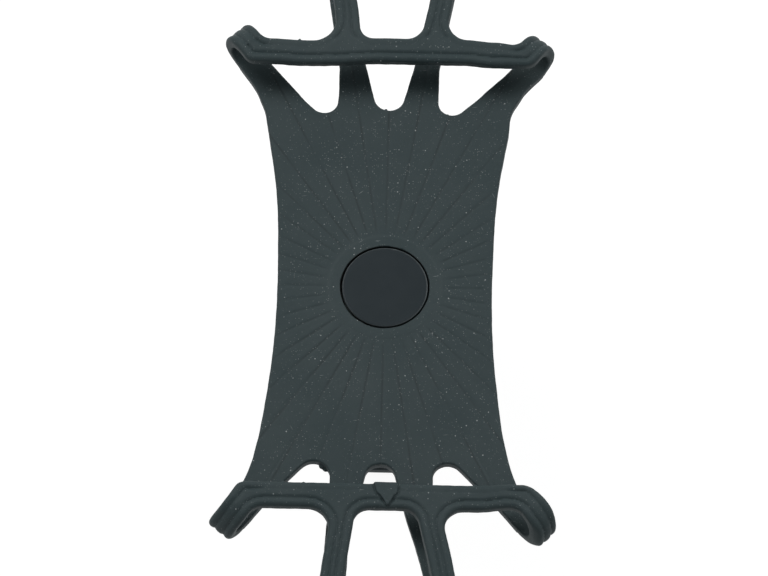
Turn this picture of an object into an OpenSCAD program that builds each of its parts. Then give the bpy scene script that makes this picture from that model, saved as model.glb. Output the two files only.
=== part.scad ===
// Handlebar phone holder: a moulded silicone web on a turning, quick-release base.
// The origin is the middle of the handlebar. +X runs along the bar, +Y points to the
// top of the phone and +Z points out of its screen. All sizes are in millimetres.

/* [Handlebar] */
// Diameter of the handlebar
bar_d = 31.8; // [31:0.1:32.6]
// Thickness of the rubber pad between the base and the bar
pad_t = 1.6; // [1.2:0.1:2]
// Width of the pad and of the strap, along the bar
strap_w = 26; // [22:0.5:27]
// Angle that the pad covers on the bar
pad_angle = 118; // [100:1:124]

/* [Handlebar strap] */
// Thickness of the silicone handlebar strap
bar_strap_t = 2.3; // [2:0.1:2.5]
// Diameter of the strap's steel pin
pin_d = 3; // [2.6:0.1:3.4]
// Height of the strap's pin above the middle of the bar
pin_z = 2.2; // [1.8:0.1:2.6]
// Distance from the middle of the bar to the end of the pull tab
tab_reach = 31.7; // [30:0.1:36]
// Length of each hooking slot along the strap
slot_len = 3.5; // [3.3:0.1:4]
// Radius of the corners of the pull tab
tab_corner_r = 3; // [1:0.5:5]
// Number of spare hooking slots round the bar
spare_slots = 2; // [0:1:3]

/* [Base] */
// Diameter of the round base
base_d = 42; // [41.6:0.2:44]
// Height of the base's lower edge above the middle of the bar
skirt_z = 8; // [7.6:0.1:9]
// Thickness of the floor between the pad and the spindle
floor_t = 2.7; // [2:0.1:3.5]
// Thickness of the base's cover
cover_t = 3.4; // [3:0.1:4.5]
// Width of the hook that holds the strap
hook_w = 10; // [8:0.5:12]
// Thickness of the hook's post
hook_t = 3; // [2.6:0.1:3.1]
// Thickness of each ear beside the strap's eye
ear_t = 3.2; // [2.5:0.1:4]

/* [Release latch] */
// Diameter of the spindle that turns in the base
spindle_d = 12; // [11:0.5:12.5]
// Diameter of the spindle inside its latch groove
groove_core_d = 8; // [7.8:0.1:8.2]
// Height of the spindle's locking lip
lip_h = 1.8; // [1.7:0.1:2.4]
// Thickness of each steel latch plate
latch_t = 1.2; // [1:0.1:1.5]
// Free play above and below a latch plate
latch_play = 0.1; // [0.08:0.01:0.15]
// Distance that each release button moves in
press_travel = 2.2; // [2:0.1:2.4]
// Width of each release button
button_w = 11.6; // [9:0.2:12]
// Distance that each button stands out of the base
button_proud = 2.2; // [2:0.1:3]
// Outside diameter of the return springs
spring_d = 3; // [2.6:0.1:3.1]
// Wire diameter of the return springs
wire_d = 0.5; // [0.4:0.05:0.6]
// Number of coils in each return spring
coils = 4; // [3:1:5]

/* [Turntable] */
// Diameter of the round plate that carries the web
dock_d = 40; // [36:0.5:42]
// Thickness of that plate
dock_t = 4.1; // [3.9:0.1:5]
// Running gap between the base and the turning plate
turn_gap = 0.6; // [0.5:0.05:0.8]
// Diameter of the round cap in the middle of the web
cap_d = 19.4; // [18.4:0.1:20.4]
// Thickness of the cap's face
cap_t = 1.4; // [1.2:0.1:1.6]
// Diameter of the cap's boss, which passes through the web
boss_d = 14; // [13:0.5:15]
// Distance across the two flats of the boss
boss_flats = 12; // [11.5:0.5:12.5]
// Width of the gap round the cap's face
cap_gap = 0.3; // [0.25:0.05:0.5]
// Diameter of the screw that holds cap, web, plate and spindle together
hub_screw_d = 4; // [3:0.5:4]

/* [Silicone web] */
// Thickness of the centre plate
plate_t = 3; // [2.9:0.1:3.4]
// Half width of the plate at its waist
waist_half = 24; // [23.5:0.1:24.6]
// Radius of the long curve of the plate's sides
side_r = 250; // [220:5:300]
// Radius of the curve from the plate's side into a corner strap
corner_sweep_r = 20; // [17:0.5:22]
// Thickness of the straps
web_strap_t = 2.6; // [2.4:0.1:2.8]
// Width of the cross bands and the corner straps
band_w = 5.8; // [5.4:0.1:6.2]
// Width of the long straps at both ends
leg_w = 5.4; // [5.2:0.1:5.8]
// Clear height of the pocket for the phone
pocket_h = 6.6; // [6:0.1:7.2]
// Distance from the middle of the web to the middle of a cross band
band_y = 53.9; // [53.4:0.1:54.6]
// Half length of the straight part of a cross band
band_half = 28.7; // [28.2:0.1:29.2]
// Radius of the bend from a cross band into a corner strap
band_bend_r = 3.6; // [3.5:0.1:4]
// Length of the straight run from that bend to the corner's fold
corner_run = 1; // [0.8:0.1:2]
// Angle between a corner strap and the cross bands
corner_angle = 48.8; // [46:0.2:50]
// Half distance between the long straps, measured 60 mm from the middle
leg_x = 9.8; // [9.6:0.1:10.2]
// Angle that the long straps spread outwards
leg_angle = 9; // [8:0.5:10]
// Distance from the middle of the web to the folds of the long straps
leg_fold_y = 74.2; // [73:0.1:76]
// Radius of the fillets between long straps and cross bands
fillet_r = 3; // [2.5:0.1:3.5]
// Distance from the middle of the web to the closed ends of the slots
slot_y = 42; // [41.5:0.1:42.5]
// Radius of the closed end of each side slot
side_slot_r = 3; // [2.7:0.1:3.3]
// Radius of the closed end of each middle slot
mid_slot_r = 3.4; // [3.1:0.1:3.6]
// Depth of the grooves between the edge beads and the middle of a strap
bead_groove_d = 0.35; // [0.2:0.05:0.5]
// Width of each edge bead
bead_w = 1.7; // [1.4:0.1:1.8]
// Length of the direction mark on the lower cross band
mark_len = 5.5; // [4:0.1:5.6]
// Width of the direction mark
mark_w = 5.3; // [4:0.1:7]
// Angle between the radial grooves of the plate
fan_step = 9; // [7.5:0.5:12]
// Width of the radial grooves
fan_groove_w = 0.55; // [0.4:0.05:0.8]
// Depth of the radial grooves
fan_groove_d = 0.35; // [0.2:0.05:0.5]
// Diameter of the smooth ring round the cap
ring_d = 26; // [24.5:0.5:28]

/* [Hidden] */
$fn = 96;

// Small sizes and clearances
run_fit = 0.05;      // radial clearance of a shaft that turns or slides
loose = 0.3;         // clearance beside a soft piece
over = 0.5;          // how far a cut runs past the face that it opens
through = 100;       // size of a cut or a drawing that spans the whole part
edge_r = 0.8;        // rounding of moulded rims
shoulder = 0.3;      // inset of the step along the outer edges of a strap
shoulder_h = 0.45;   // height of that step
mark_h = 0.3;        // height of the direction mark above the band
groove_w = 0.5;      // width of the grooves beside the beads
lap = 0.05;          // how much a fold and the strap that runs into it differ
lap_len = 1.5;       // how far a fold's ends reach into the straps

// Levels from the bar up to the phone
bar_r = bar_d / 2;
saddle_r = bar_r + pad_t;
bore_floor_z = saddle_r + floor_t;
tip_z = bore_floor_z + 0.2;
groove_z = tip_z + lip_h;
low_latch_z = groove_z + latch_play;
high_latch_z = low_latch_z + latch_t + latch_play;
groove_h = 2 * latch_t + 4 * latch_play;
cover_z = high_latch_z + latch_t + latch_play;
base_top_z = cover_z + cover_t;
dock_z = base_top_z + turn_gap;
web_back_z = dock_z + dock_t;
web_z = web_back_z + plate_t;
band_back_z = web_z + pocket_h;
fold_z = web_z + pocket_h / 2;
fold_in_r = pocket_h / 2;
fold_out_r = fold_in_r + web_strap_t;

// Handlebar strap
strap_out_r = bar_r + bar_strap_t;
pin_r = pin_d / 2;
eye_in_r = pin_r + run_fit;
eye_out_r = eye_in_r + bar_strap_t;
bend_y = bar_r + eye_out_r;
pin_y = bend_y - 0.1;
tab_z = pin_z + eye_in_r;
hook_y = bend_y + 0.8;
slot_half_w = hook_w / 2 + loose;
ear_r = eye_out_r + 0.4;
ear_root = [13, 17];

// Release latch
base_r = base_d / 2;
spindle_r = spindle_d / 2;
rim_t = 3.8;         // wall of the base round each button
wall_x = base_r - rim_t;
flange_t = 1.6;
flange_half = 10.2;
flange_x = wall_x - run_fit;
button_sill = 0.8;   // height of a button above the spindle's floor
button_play = 0.15;  // gap between a button and the cover
button_z = bore_floor_z + button_sill;
button_top_z = cover_z - button_play;
grip_pitch = 1.5;    // distance between the grip grooves of a button
grip_d = 0.7;        // width of a grip groove
button_in_x = flange_x - flange_t;
spring_y = flange_half - spring_d / 2 + 0.1;
spring_len = 5.6;
spring_wall_x = button_in_x - spring_len;
spring_mid_z = (button_z + button_top_z) / 2;
latch_eye_r = spindle_r + 0.4;
latch_half = latch_eye_r + 1.2;
latch_nose_r = latch_eye_r + 3;
latch_tail_half = 5;
latch_grip = 2.4;    // how far a latch plate's tail reaches past the flange
latch_tail_x = flange_x + latch_grip;
cavity_half = latch_half + 0.3;

// Turntable
flange_d = spindle_d + 6;
spindle_flange_t = 1.5;
stub_d = spindle_d - 2;
boss_seat = 1;
boss_z = web_back_z - boss_seat;
ring_groove_r = dock_d / 2 - 5.5;
ring_groove_w = 2.5;
ring_seat = 0.7;
screw_head_d = 1.75 * hub_screw_d;
screw_head_h = 0.4 * hub_screw_d;
screw_end_z = web_z - 1.1;
cover_screw_r = base_r - 4.2;
cover_screw_angles = [65, 115, 245, 295];
cover_screw_d = 2.5;
cover_screw_len = 8;

// Silicone web
half_band = band_w / 2;
half_leg = leg_w / 2;
corner_dir = [cos(corner_angle), sin(corner_angle)];
corner_side = [sin(corner_angle), -cos(corner_angle)];
bend_end = [band_half + band_bend_r * sin(corner_angle),
            band_y + band_bend_r * (1 - cos(corner_angle))];
corner_axis = bend_end + corner_run * corner_dir;
leg_dir = [sin(leg_angle), cos(leg_angle)];
leg_axis = [leg_line(leg_fold_y), leg_fold_y];
plate_cut_y = 51;
mid_slot_lean = 14.3;
mid_slot_set = 0.7;  // how much further out the middle slots end than the side slots

// Middle of each side slot's closed end: the slot runs along the corner strap
side_slot = let (y = slot_y + side_slot_r)
    [corner_axis[0] - (half_band + side_slot_r + corner_dir[0] * (corner_axis[1] - y))
        / corner_side[0], y];

// Middle line of a long strap: its X at a distance y from the middle of the web
function leg_line(y) = leg_x + (y - 60) * tan(leg_angle);

// Points of an arc from angle a to angle b in n steps
function arc(c, r, a, b, n) = [for (i = [0:n]) let (t = a + (b - a) * i / n)
    c + r * [cos(t), sin(t)]];

// Centre of the sweep that joins the plate's side to a corner strap's outer edge
function sweep_centre() =
    let (q = corner_axis + (half_band + corner_sweep_r) * corner_side,
         d = q - [waist_half + side_r, 0],
         b = d * corner_dir,
         u = -b - sqrt(b * b - d * d + pow(side_r - corner_sweep_r, 2)))
    q + u * corner_dir;

// One quarter of the plate's outline, from the waist out along a corner strap
function plate_quarter() =
    let (c = sweep_centre(), s = [waist_half + side_r, 0],
         join = atan2(c[1] - s[1], c[0] - s[0]),
         end = corner_axis - 0.5 * corner_dir)
    concat(arc(s, side_r, 180, join, 5),
           arc(c, corner_sweep_r, join, 90 + corner_angle, 8),
           [end + half_band * corner_side, end - half_band * corner_side,
            [leg_line(plate_cut_y) + half_leg, plate_cut_y],
            [0, plate_cut_y], [0, 0]]);

// A convex outline given counter-clockwise, grown by r with round corners
function grown(pts, r, n = 8) =
    let (count = len(pts))
    [for (i = [0:count - 1])
        let (d1 = pts[i] - pts[(i + count - 1) % count], d2 = pts[(i + 1) % count] - pts[i],
             a = atan2(d1[1], d1[0]) - 90, turn = atan2(d2[1], d2[0]) - 90 - a)
        each arc(pts[i], r, a, a + (turn < 0 ? turn + 360 : turn), n)];

// Arc that rounds the corner p between edges at angles a and b, from the edge at a
function fillet(p, a, b, r) =
    let (h = (b - a) / 2, m = (a + b) / 2)
    arc(p + r / sin(h) * [cos(m), sin(m)], r, a - 90, b - 270, 6);

// Right half of the front layer of one end, drawn i inside its edges and ending cut
// short of the folds: the cross band, its bend into the corner strap and the long strap
function front_half(i, cut) =
    let (h = half_band - i, g = half_leg - i, top = band_y + h,
         c = [band_half, band_y + band_bend_r],
         end = corner_axis - cut * corner_dir,
         tip = leg_axis - cut * leg_dir,
         side = [leg_dir[1], -leg_dir[0]],
         out = g / cos(leg_angle))
    concat([[0, band_y - h]],
           arc(c, band_bend_r + h, -90, corner_angle - 90, 6),
           [end + h * corner_side, end - h * corner_side],
           arc(c, band_bend_r - h, corner_angle - 90, -90, 6),
           fillet([leg_line(top) + out, top], 0, 90 - leg_angle, fillet_r + i),
           [tip + g * side, tip - g * side],
           fillet([leg_line(top) - out, top], 90 - leg_angle, 180, fillet_r + i),
           [[0, top]]);

module mirror_x() { children(); mirror([1, 0, 0]) children(); }
module mirror_y() { children(); mirror([0, 1, 0]) children(); }
module four_corners() { mirror_y() mirror_x() children(); }

// Turns a drawing in Y and Z into a solid that is w wide along X
module across(w) { rotate([90, 0, 90]) translate([0, 0, -w / 2]) linear_extrude(w) children(); }

// Section of a fold in a strap of width w: two edge beads and a middle land on the
// outer face. It is a lap wider and a lap thinner all round than the strap, so that the
// faces of the two cross instead of lying in each other.
module strap_section(w) {
    h = w / 2 + lap;
    a = h - bead_w;
    b = a - groove_w;
    inner = fold_in_r + lap;
    outer = fold_out_r - lap;
    low = outer - bead_groove_d;
    half = [[h, outer - shoulder_h], [h - shoulder, outer - shoulder_h],
            [h - shoulder, outer], [a, outer], [a, low], [b, low], [b, outer]];
    n = len(half);
    polygon(concat([[inner, -h], [outer - shoulder_h, -h]],
        [for (i = [1:n - 1]) [half[i][1], -half[i][0]]],
        [for (i = [n - 1:-1:0]) [half[i][1], half[i][0]]],
        [[inner, h]]));
}

// The fold of a strap of width w at the axis point p, heading out at angle a, with a
// straight rear stretch of length back and a short front one
module fold(p, a, w, back) {
    translate([p[0], p[1], fold_z]) rotate([0, 0, a - 90]) rotate([0, 90, 0]) {
        rotate_extrude(angle = 180) strap_section(w);
        rotate([90, 0, 0]) linear_extrude(back) strap_section(w);
        mirror([1, 0, 0]) rotate([90, 0, 0]) linear_extrude(lap_len) strap_section(w);
    }
}

// The front layer of one end
module front_outline(i, cut) {
    mirror_x() polygon(front_half(i, cut));
}

// The slots between the straps, grown by i
module slots(i) {
    far = 24;
    mid = [0, slot_y + mid_slot_set + mid_slot_r];
    mirror_y() {
        polygon(grown([mid, mid + far * [tan(mid_slot_lean), 1],
                       mid + far * [-tan(mid_slot_lean), 1]], mid_slot_r + i));
        mirror_x() polygon(grown([side_slot, side_slot + far * corner_dir,
            side_slot + [0, far]], side_slot_r + i));
    }
}

// The rear layer: the centre plate with the roots of its eight straps
module plate_outline() {
    difference() {
        four_corners() polygon(plate_quarter());
        slots(0);
    }
}

// Radial grooves between the smooth ring and the edges
module fan() {
    margin = 1.6;
    difference() {
        intersection() {
            for (a = [0:fan_step:359]) rotate(a)
                translate([ring_d / 2, -fan_groove_w / 2]) square([leg_fold_y, fan_groove_w]);
            four_corners() square([waist_half - margin, slot_y + 6]);
        }
        slots(margin);
    }
}

module boss_shape(d, flats) {
    intersection() {
        circle(d = d);
        square([flats, d + 1], center = true);
    }
}

// An arrow that points down, with its flat end on the X axis
module direction_mark() {
    w = mark_w / 2;
    mirror_x() polygon([[0, 0], [w, 0], [0.9 * w, -0.35 * mark_len], [0.85 * w, -0.45 * mark_len],
                        [0.5 * w, -0.6 * mark_len], [0.13 * w, -0.93 * mark_len], [0, -mark_len]]);
}

module silicone_web() {
    color([0.23, 0.27, 0.28]) {
        difference() {
            union() {
                translate([0, 0, web_z - web_strap_t]) linear_extrude(web_strap_t) plate_outline();
                translate([0, 0, web_back_z]) linear_extrude(plate_t) intersection() {
                    plate_outline();
                    square([through, 2 * (slot_y - 2)], center = true);
                }
            }
            translate([0, 0, web_back_z - over]) linear_extrude(plate_t + 2 * over)
                boss_shape(boss_d, boss_flats);
            translate([0, 0, web_z - cap_t]) cylinder(d = cap_d + 2 * cap_gap, h = cap_t + over);
            translate([0, 0, web_z - fan_groove_d]) linear_extrude(1) fan();
        }
        four_corners() {
            fold(leg_axis, 90 - leg_angle, leg_w, leg_fold_y - plate_cut_y + 1);
            fold(corner_axis, corner_angle, band_w, lap_len);
        }
        mirror_y() difference() {
            translate([0, 0, band_back_z]) {
                linear_extrude(web_strap_t - shoulder_h) front_outline(0, 0.5);
                linear_extrude(web_strap_t) front_outline(shoulder, 0.7);
            }
            translate([0, 0, band_back_z + web_strap_t - bead_groove_d]) linear_extrude(1)
                difference() {
                    front_outline(bead_w, 0.3);
                    front_outline(bead_w + groove_w, 0.1);
                }
        }
        // Direction mark on the lower cross band, pointing away from the plate
        translate([0, half_band - shoulder - band_y, band_back_z + web_strap_t - bead_groove_d])
            linear_extrude(bead_groove_d + mark_h) direction_mark();
    }
}

module hub_cap() {
    color([0.16, 0.19, 0.21]) difference() {
        union() {
            translate([0, 0, web_z - cap_t]) rotate_extrude() polygon([[0, 0], [cap_d / 2, 0],
                [cap_d / 2, cap_t - 0.3], [cap_d / 2 - 0.3, cap_t], [0, cap_t]]);
            translate([0, 0, boss_z]) linear_extrude(web_z - cap_t - boss_z)
                boss_shape(boss_d, boss_flats);
        }
        translate([0, 0, boss_z - over]) cylinder(d = hub_screw_d, h = screw_end_z + 0.1 - boss_z + over);
    }
}

module dock_plate() {
    r = dock_d / 2;
    color([0.1, 0.11, 0.12]) translate([0, 0, dock_z]) difference() {
        rotate_extrude() difference() {
            union() {
                square([r, dock_t - edge_r]);
                square([r - edge_r, dock_t]);
                translate([r - edge_r, dock_t - edge_r]) circle(edge_r);
            }
            translate([ring_groove_r, -over]) square([ring_groove_w, ring_seat + over]);
        }
        translate([0, 0, -over]) cylinder(d = flange_d, h = spindle_flange_t + over);
        cylinder(d = stub_d, h = dock_t - boss_seat);
        translate([0, 0, dock_t - boss_seat]) linear_extrude(boss_seat + over)
            boss_shape(boss_d, boss_flats);
        // Pockets that lighten the underside
        for (a = [30:60:330]) rotate(a) translate([(flange_d / 2 + ring_groove_r) / 2, 0, -over])
            cylinder(d = 3.4, h = 2 + over);
    }
}

module spindle() {
    top = boss_z - dock_z;
    color([0.75, 0.76, 0.78]) difference() {
        union() {
            translate([0, 0, tip_z]) cylinder(r1 = spindle_r - 0.8, r2 = spindle_r, h = 0.8);
            translate([0, 0, tip_z + 0.8]) cylinder(r = spindle_r, h = lip_h - 0.8);
            translate([0, 0, groove_z]) cylinder(d = groove_core_d, h = groove_h);
            translate([0, 0, groove_z + groove_h])
                cylinder(r = spindle_r, h = dock_z - groove_z - groove_h);
            translate([0, 0, dock_z]) cylinder(d = flange_d, h = spindle_flange_t);
            translate([0, 0, dock_z]) cylinder(d = stub_d, h = top);
        }
        translate([0, 0, tip_z - over]) cylinder(d = hub_screw_d + 0.2, h = 30);
        translate([0, 0, tip_z - over]) cylinder(d = screw_head_d + 0.2, h = screw_head_h + over);
    }
}

module hub_screw() {
    seat = tip_z + screw_head_h;
    color([0.55, 0.56, 0.58]) difference() {
        union() {
            translate([0, 0, seat - screw_head_h]) cylinder(d = screw_head_d, h = screw_head_h);
            translate([0, 0, seat]) cylinder(d = hub_screw_d, h = screw_end_z - seat);
        }
        translate([0, 0, seat - screw_head_h - over])
            cylinder(d = 0.65 * hub_screw_d, h = 0.6 * screw_head_h + over, $fn = 6);
    }
}

module thrust_washer() {
    color([0.85, 0.85, 0.8]) translate([0, 0, base_top_z]) difference() {
        cylinder(d = flange_d, h = turn_gap - run_fit);
        translate([0, 0, -over]) cylinder(r = spindle_r + run_fit, h = turn_gap + 2 * over);
    }
}

module friction_ring() {
    color([0.08, 0.08, 0.08]) translate([0, 0, base_top_z + run_fit]) difference() {
        h = turn_gap - run_fit + ring_seat;
        cylinder(r = ring_groove_r + ring_groove_w, h = h);
        translate([0, 0, -over]) cylinder(r = ring_groove_r, h = h + 2 * over);
    }
}

// One screw hole or screw of the cover: the shank and its countersunk head
module cover_screw(extra) {
    head = cover_screw_d / 2 + extra;
    for (a = cover_screw_angles) rotate(a) translate([cover_screw_r, 0, base_top_z]) {
        translate([0, 0, -cover_screw_len]) cylinder(r = head, h = cover_screw_len);
        translate([0, 0, -cover_screw_d / 2]) cylinder(r1 = head, r2 = head + cover_screw_d / 2,
            h = cover_screw_d / 2);
    }
}

module cover_screws() {
    color([0.5, 0.51, 0.53]) difference() {
        cover_screw(0);
        for (a = cover_screw_angles) rotate(a)
            translate([cover_screw_r, 0, base_top_z - 0.8]) cylinder(d = 1.5, h = 1, $fn = 6);
    }
}

module base_cover() {
    color([0.12, 0.13, 0.14]) difference() {
        translate([0, 0, cover_z]) rotate_extrude() {
            square([base_r, cover_t - edge_r]);
            square([base_r - edge_r, cover_t]);
            translate([base_r - edge_r, cover_t - edge_r]) circle(edge_r);
        }
        translate([0, 0, cover_z - over]) cylinder(r = spindle_r + 2, h = cover_t + 2 * over);
        cover_screw(run_fit);
    }
}

module spindle_bush() {
    color([0.78, 0.64, 0.35]) translate([0, 0, cover_z]) difference() {
        cylinder(r = spindle_r + 2, h = cover_t);
        translate([0, 0, -over]) cylinder(r = spindle_r + run_fit, h = cover_t + 2 * over);
    }
}

// The outside of the base: a round body with a rounded lower rim
module base_body() {
    h = cover_z - skirt_z;
    translate([0, 0, skirt_z]) rotate_extrude() {
        translate([0, 2]) square([base_r, h - 2]);
        square([base_r - 2, h]);
        translate([base_r - 2, 2]) circle(2);
    }
}

// Side view of an ear: round about the pin, then straight up into the base
function ear_outline() =
    let (d = ear_root - [pin_y, pin_z], lean = atan2(d[1], d[0]))
    concat(arc([pin_y, pin_z], ear_r, lean - 270, lean - 90, 16),
           [ear_root + ear_r * [cos(lean - 90), sin(lean - 90)],
            ear_root - ear_r * [cos(lean - 90), sin(lean - 90)]]);

// The ears that hold the strap's pin
module ears() {
    difference() {
        mirror_x() translate([strap_w / 2 + loose + ear_t / 2, 0, 0]) across(ear_t)
            polygon(ear_outline());
        across(through) circle(bar_r + 0.6);
        across(through) translate([pin_y, pin_z]) circle(eye_in_r);
    }
}

// The hook that the strap's slot slips over, under a ledge on the base
module hook() {
    lip = 1.8;
    low = tab_z - 0.1;
    across(hook_w) {
        translate([-hook_y - hook_t, low - 2]) square([hook_t, skirt_z - low + 3]);
        translate([-hook_y - hook_t - lip, low - 2]) square([hook_t + lip, 2]);
    }
    across(hook_w + 2) translate([-hook_y - hook_t - 1, skirt_z])
        square([hook_y + hook_t + 1 - saddle_r, 4]);
}

module base_housing() {
    depth = cover_z + over;
    color([0.13, 0.14, 0.15]) difference() {
        union() {
            difference() {
                base_body();
                across(through) circle(saddle_r);
            }
            ears();
            hook();
        }
        translate([0, 0, bore_floor_z]) cylinder(r = spindle_r + run_fit, h = depth);
        translate([-wall_x, -cavity_half, groove_z]) cube([2 * wall_x, 2 * cavity_half, depth]);
        mirror_x() {
            // Room for the button's flange and its springs
            translate([spring_wall_x, -flange_half - 0.2, button_z - run_fit])
                cube([wall_x - spring_wall_x, 2 * flange_half + 0.4, depth]);
            // Window for the button
            translate([wall_x - over, -button_w / 2 - run_fit, button_z - run_fit])
                cube([10, button_w + 2 * run_fit, depth]);
        }
        cover_screw(run_fit);
    }
}

// A release button, drawn for the +X side: a curved face, a flange that keeps it in the
// base and a slot for the tail of its latch plate
module button(latch_z) {
    h = button_top_z - button_z;
    difference() {
        union() {
            translate([0, 0, button_z]) linear_extrude(h) intersection() {
                circle(base_r + button_proud);
                translate([flange_x - over, -button_w / 2]) square([10, button_w]);
            }
            translate([button_in_x, -flange_half, button_z]) cube([flange_t, 2 * flange_half, h]);
        }
        translate([button_in_x - over, -latch_tail_half, latch_z])
            cube([latch_tail_x - button_in_x + over, 2 * latch_tail_half, latch_t]);
        // Grip grooves in the face
        for (i = [-2:2]) translate([base_r + button_proud, grip_pitch * i, button_z - over])
            cylinder(d = grip_d, h = h + 2 * over, $fn = 24);
    }
}

// A stamped latch plate for the +X button: its eye grips the far side of the spindle
module latch(z) {
    translate([0, 0, z]) linear_extrude(latch_t) difference() {
        union() {
            intersection() {
                translate([press_travel, 0]) circle(latch_nose_r);
                square([2 * (latch_nose_r + press_travel), 2 * latch_half], center = true);
            }
            translate([press_travel, -latch_tail_half])
                square([latch_tail_x - press_travel, 2 * latch_tail_half]);
        }
        translate([press_travel, 0]) circle(latch_eye_r);
    }
}

module left_button() { color([0.3, 0.32, 0.34]) mirror([1, 0, 0]) button(high_latch_z); }
module right_button() { color([0.3, 0.32, 0.34]) button(low_latch_z); }
module left_latch() { color([0.7, 0.72, 0.74]) mirror([1, 0, 0]) latch(high_latch_z); }
module right_latch() { color([0.7, 0.72, 0.74]) latch(low_latch_z); }

// A coil spring along +X from the origin, as one swept tube
module coil_spring() {
    sides = 6;
    steps = 10;
    r = (spring_d - wire_d) / 2;
    run = spring_len - wire_d - 0.04;
    rings = coils * steps;
    pts = [for (i = [0:rings], k = [0:sides - 1])
        let (a = 360 * i / steps, b = 360 * k / sides, q = r + wire_d / 2 * cos(b))
        [0.02 + wire_d / 2 + run * i / rings + wire_d / 2 * sin(b), q * cos(a), q * sin(a)]];
    faces = concat(
        [for (k = [1:sides - 2]) [0, k, k + 1]],
        [for (i = [0:rings - 1], k = [0:sides - 1], half = [0, 1])
            let (n = (k + 1) % sides, a = i * sides, b = a + sides)
            half == 0 ? [a + n, a + k, b + k] : [a + n, b + k, b + n]],
        [for (k = [1:sides - 2]) [rings * sides, rings * sides + k + 1, rings * sides + k]]);
    polyhedron(pts, faces);
}

module springs() {
    mirror_y() translate([spring_wall_x, spring_y, spring_mid_z]) coil_spring();
}

module left_springs() { color([0.75, 0.76, 0.78]) mirror([1, 0, 0]) springs(); }
module right_springs() { color([0.75, 0.76, 0.78]) springs(); }

module saddle_pad() {
    a = pad_angle / 2;
    color([0.07, 0.07, 0.07]) across(strap_w) difference() {
        circle(saddle_r);
        circle(bar_r);
        rotate(90 - a) mirror([0, 1, 0]) translate([-through / 2, 0]) square(through);
        rotate(90 + a) translate([-through / 2, 0]) square(through);
        translate([-through / 2, -through]) square(through);
    }
}

// Side view of the handlebar strap, from its eye round the bar to the pull tab
module strap_path() {
    difference() {
        union() {
            difference() {
                circle(strap_out_r);
                circle(bar_r);
                translate([-through / 2, 0]) square(through);
            }
            mirror_x() translate([bar_r, 0]) square([bar_strap_t, pin_z]);
            translate([pin_y, pin_z]) circle(eye_out_r);
        }
        translate([pin_y, pin_z]) circle(eye_in_r);
    }
    translate([-bend_y, pin_z]) intersection() {
        difference() {
            circle(eye_out_r);
            circle(eye_in_r);
        }
        square(20);
    }
    translate([-tab_reach, tab_z]) square([tab_reach - bend_y, bar_strap_t]);
}

module handlebar_strap() {
    color([0.2, 0.23, 0.24]) difference() {
        union() {
            across(strap_w) strap_path();
            // Grip ribs under the pull tab
            for (i = [0:2]) translate([0, -tab_reach + 1.2 + 1.6 * i, tab_z])
                rotate([0, 90, 0]) cylinder(d = 0.9, h = strap_w - 8, center = true, $fn = 24);
        }
        // The slot over the hook, and the spare ones
        translate([-slot_half_w, -hook_y - hook_t, tab_z - over])
            cube([2 * slot_half_w, slot_len, bar_strap_t + 2 * over]);
        for (i = [0:1:spare_slots - 1]) rotate([28 + 26 * i, 0, 0])
            translate([-slot_half_w, -strap_out_r - over, -slot_len / 2])
                cube([2 * slot_half_w, bar_strap_t + 2 * over, slot_len]);
        mirror_x() translate([strap_w / 2 - tab_corner_r, -tab_reach + tab_corner_r, tab_z - 1])
            difference() {
                translate([0, -tab_corner_r - 1, 0]) cube([tab_corner_r + 1, tab_corner_r + 1, 5]);
                cylinder(r = tab_corner_r, h = 5);
            }
    }
}

module strap_pin() {
    reach = strap_w / 2 + loose + ear_t;
    color([0.72, 0.73, 0.75]) translate([0, pin_y, pin_z]) rotate([0, 90, 0]) difference() {
        union() {
            translate([0, 0, -reach]) cylinder(r = pin_r, h = 2 * reach + 1.6);
            translate([0, 0, -reach - 1]) cylinder(r = pin_r + 1, h = 1);
        }
        // Groove for the clip
        translate([0, 0, reach + 0.1]) difference() {
            cylinder(r = pin_r + 1, h = 0.6);
            cylinder(r = pin_r - 0.4, h = 0.6);
        }
    }
}

module pin_clip() {
    reach = strap_w / 2 + loose + ear_t;
    color([0.5, 0.51, 0.53]) translate([reach + 0.1, pin_y, pin_z]) rotate([0, 90, 0])
        linear_extrude(0.5) difference() {
            circle(pin_r + 1.3);
            circle(pin_r - 0.4);
            translate([0, -0.8]) square([5, 1.6]);
        }
}

silicone_web();
hub_cap();
dock_plate();
spindle();
hub_screw();
thrust_washer();
friction_ring();
base_housing();
base_cover();
cover_screws();
spindle_bush();
left_button();
right_button();
left_latch();
right_latch();
left_springs();
right_springs();
saddle_pad();
handlebar_strap();
strap_pin();
pin_clip();
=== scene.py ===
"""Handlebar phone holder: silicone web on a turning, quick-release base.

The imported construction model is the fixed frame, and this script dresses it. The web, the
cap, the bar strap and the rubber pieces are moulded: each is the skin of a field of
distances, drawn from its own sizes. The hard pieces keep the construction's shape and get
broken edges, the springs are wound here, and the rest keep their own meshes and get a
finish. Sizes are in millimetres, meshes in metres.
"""

import logging
import math
from dataclasses import dataclass, field
from enum import Enum

import bmesh
import bpy
import numpy as np
from mathutils import Matrix, Vector


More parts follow.
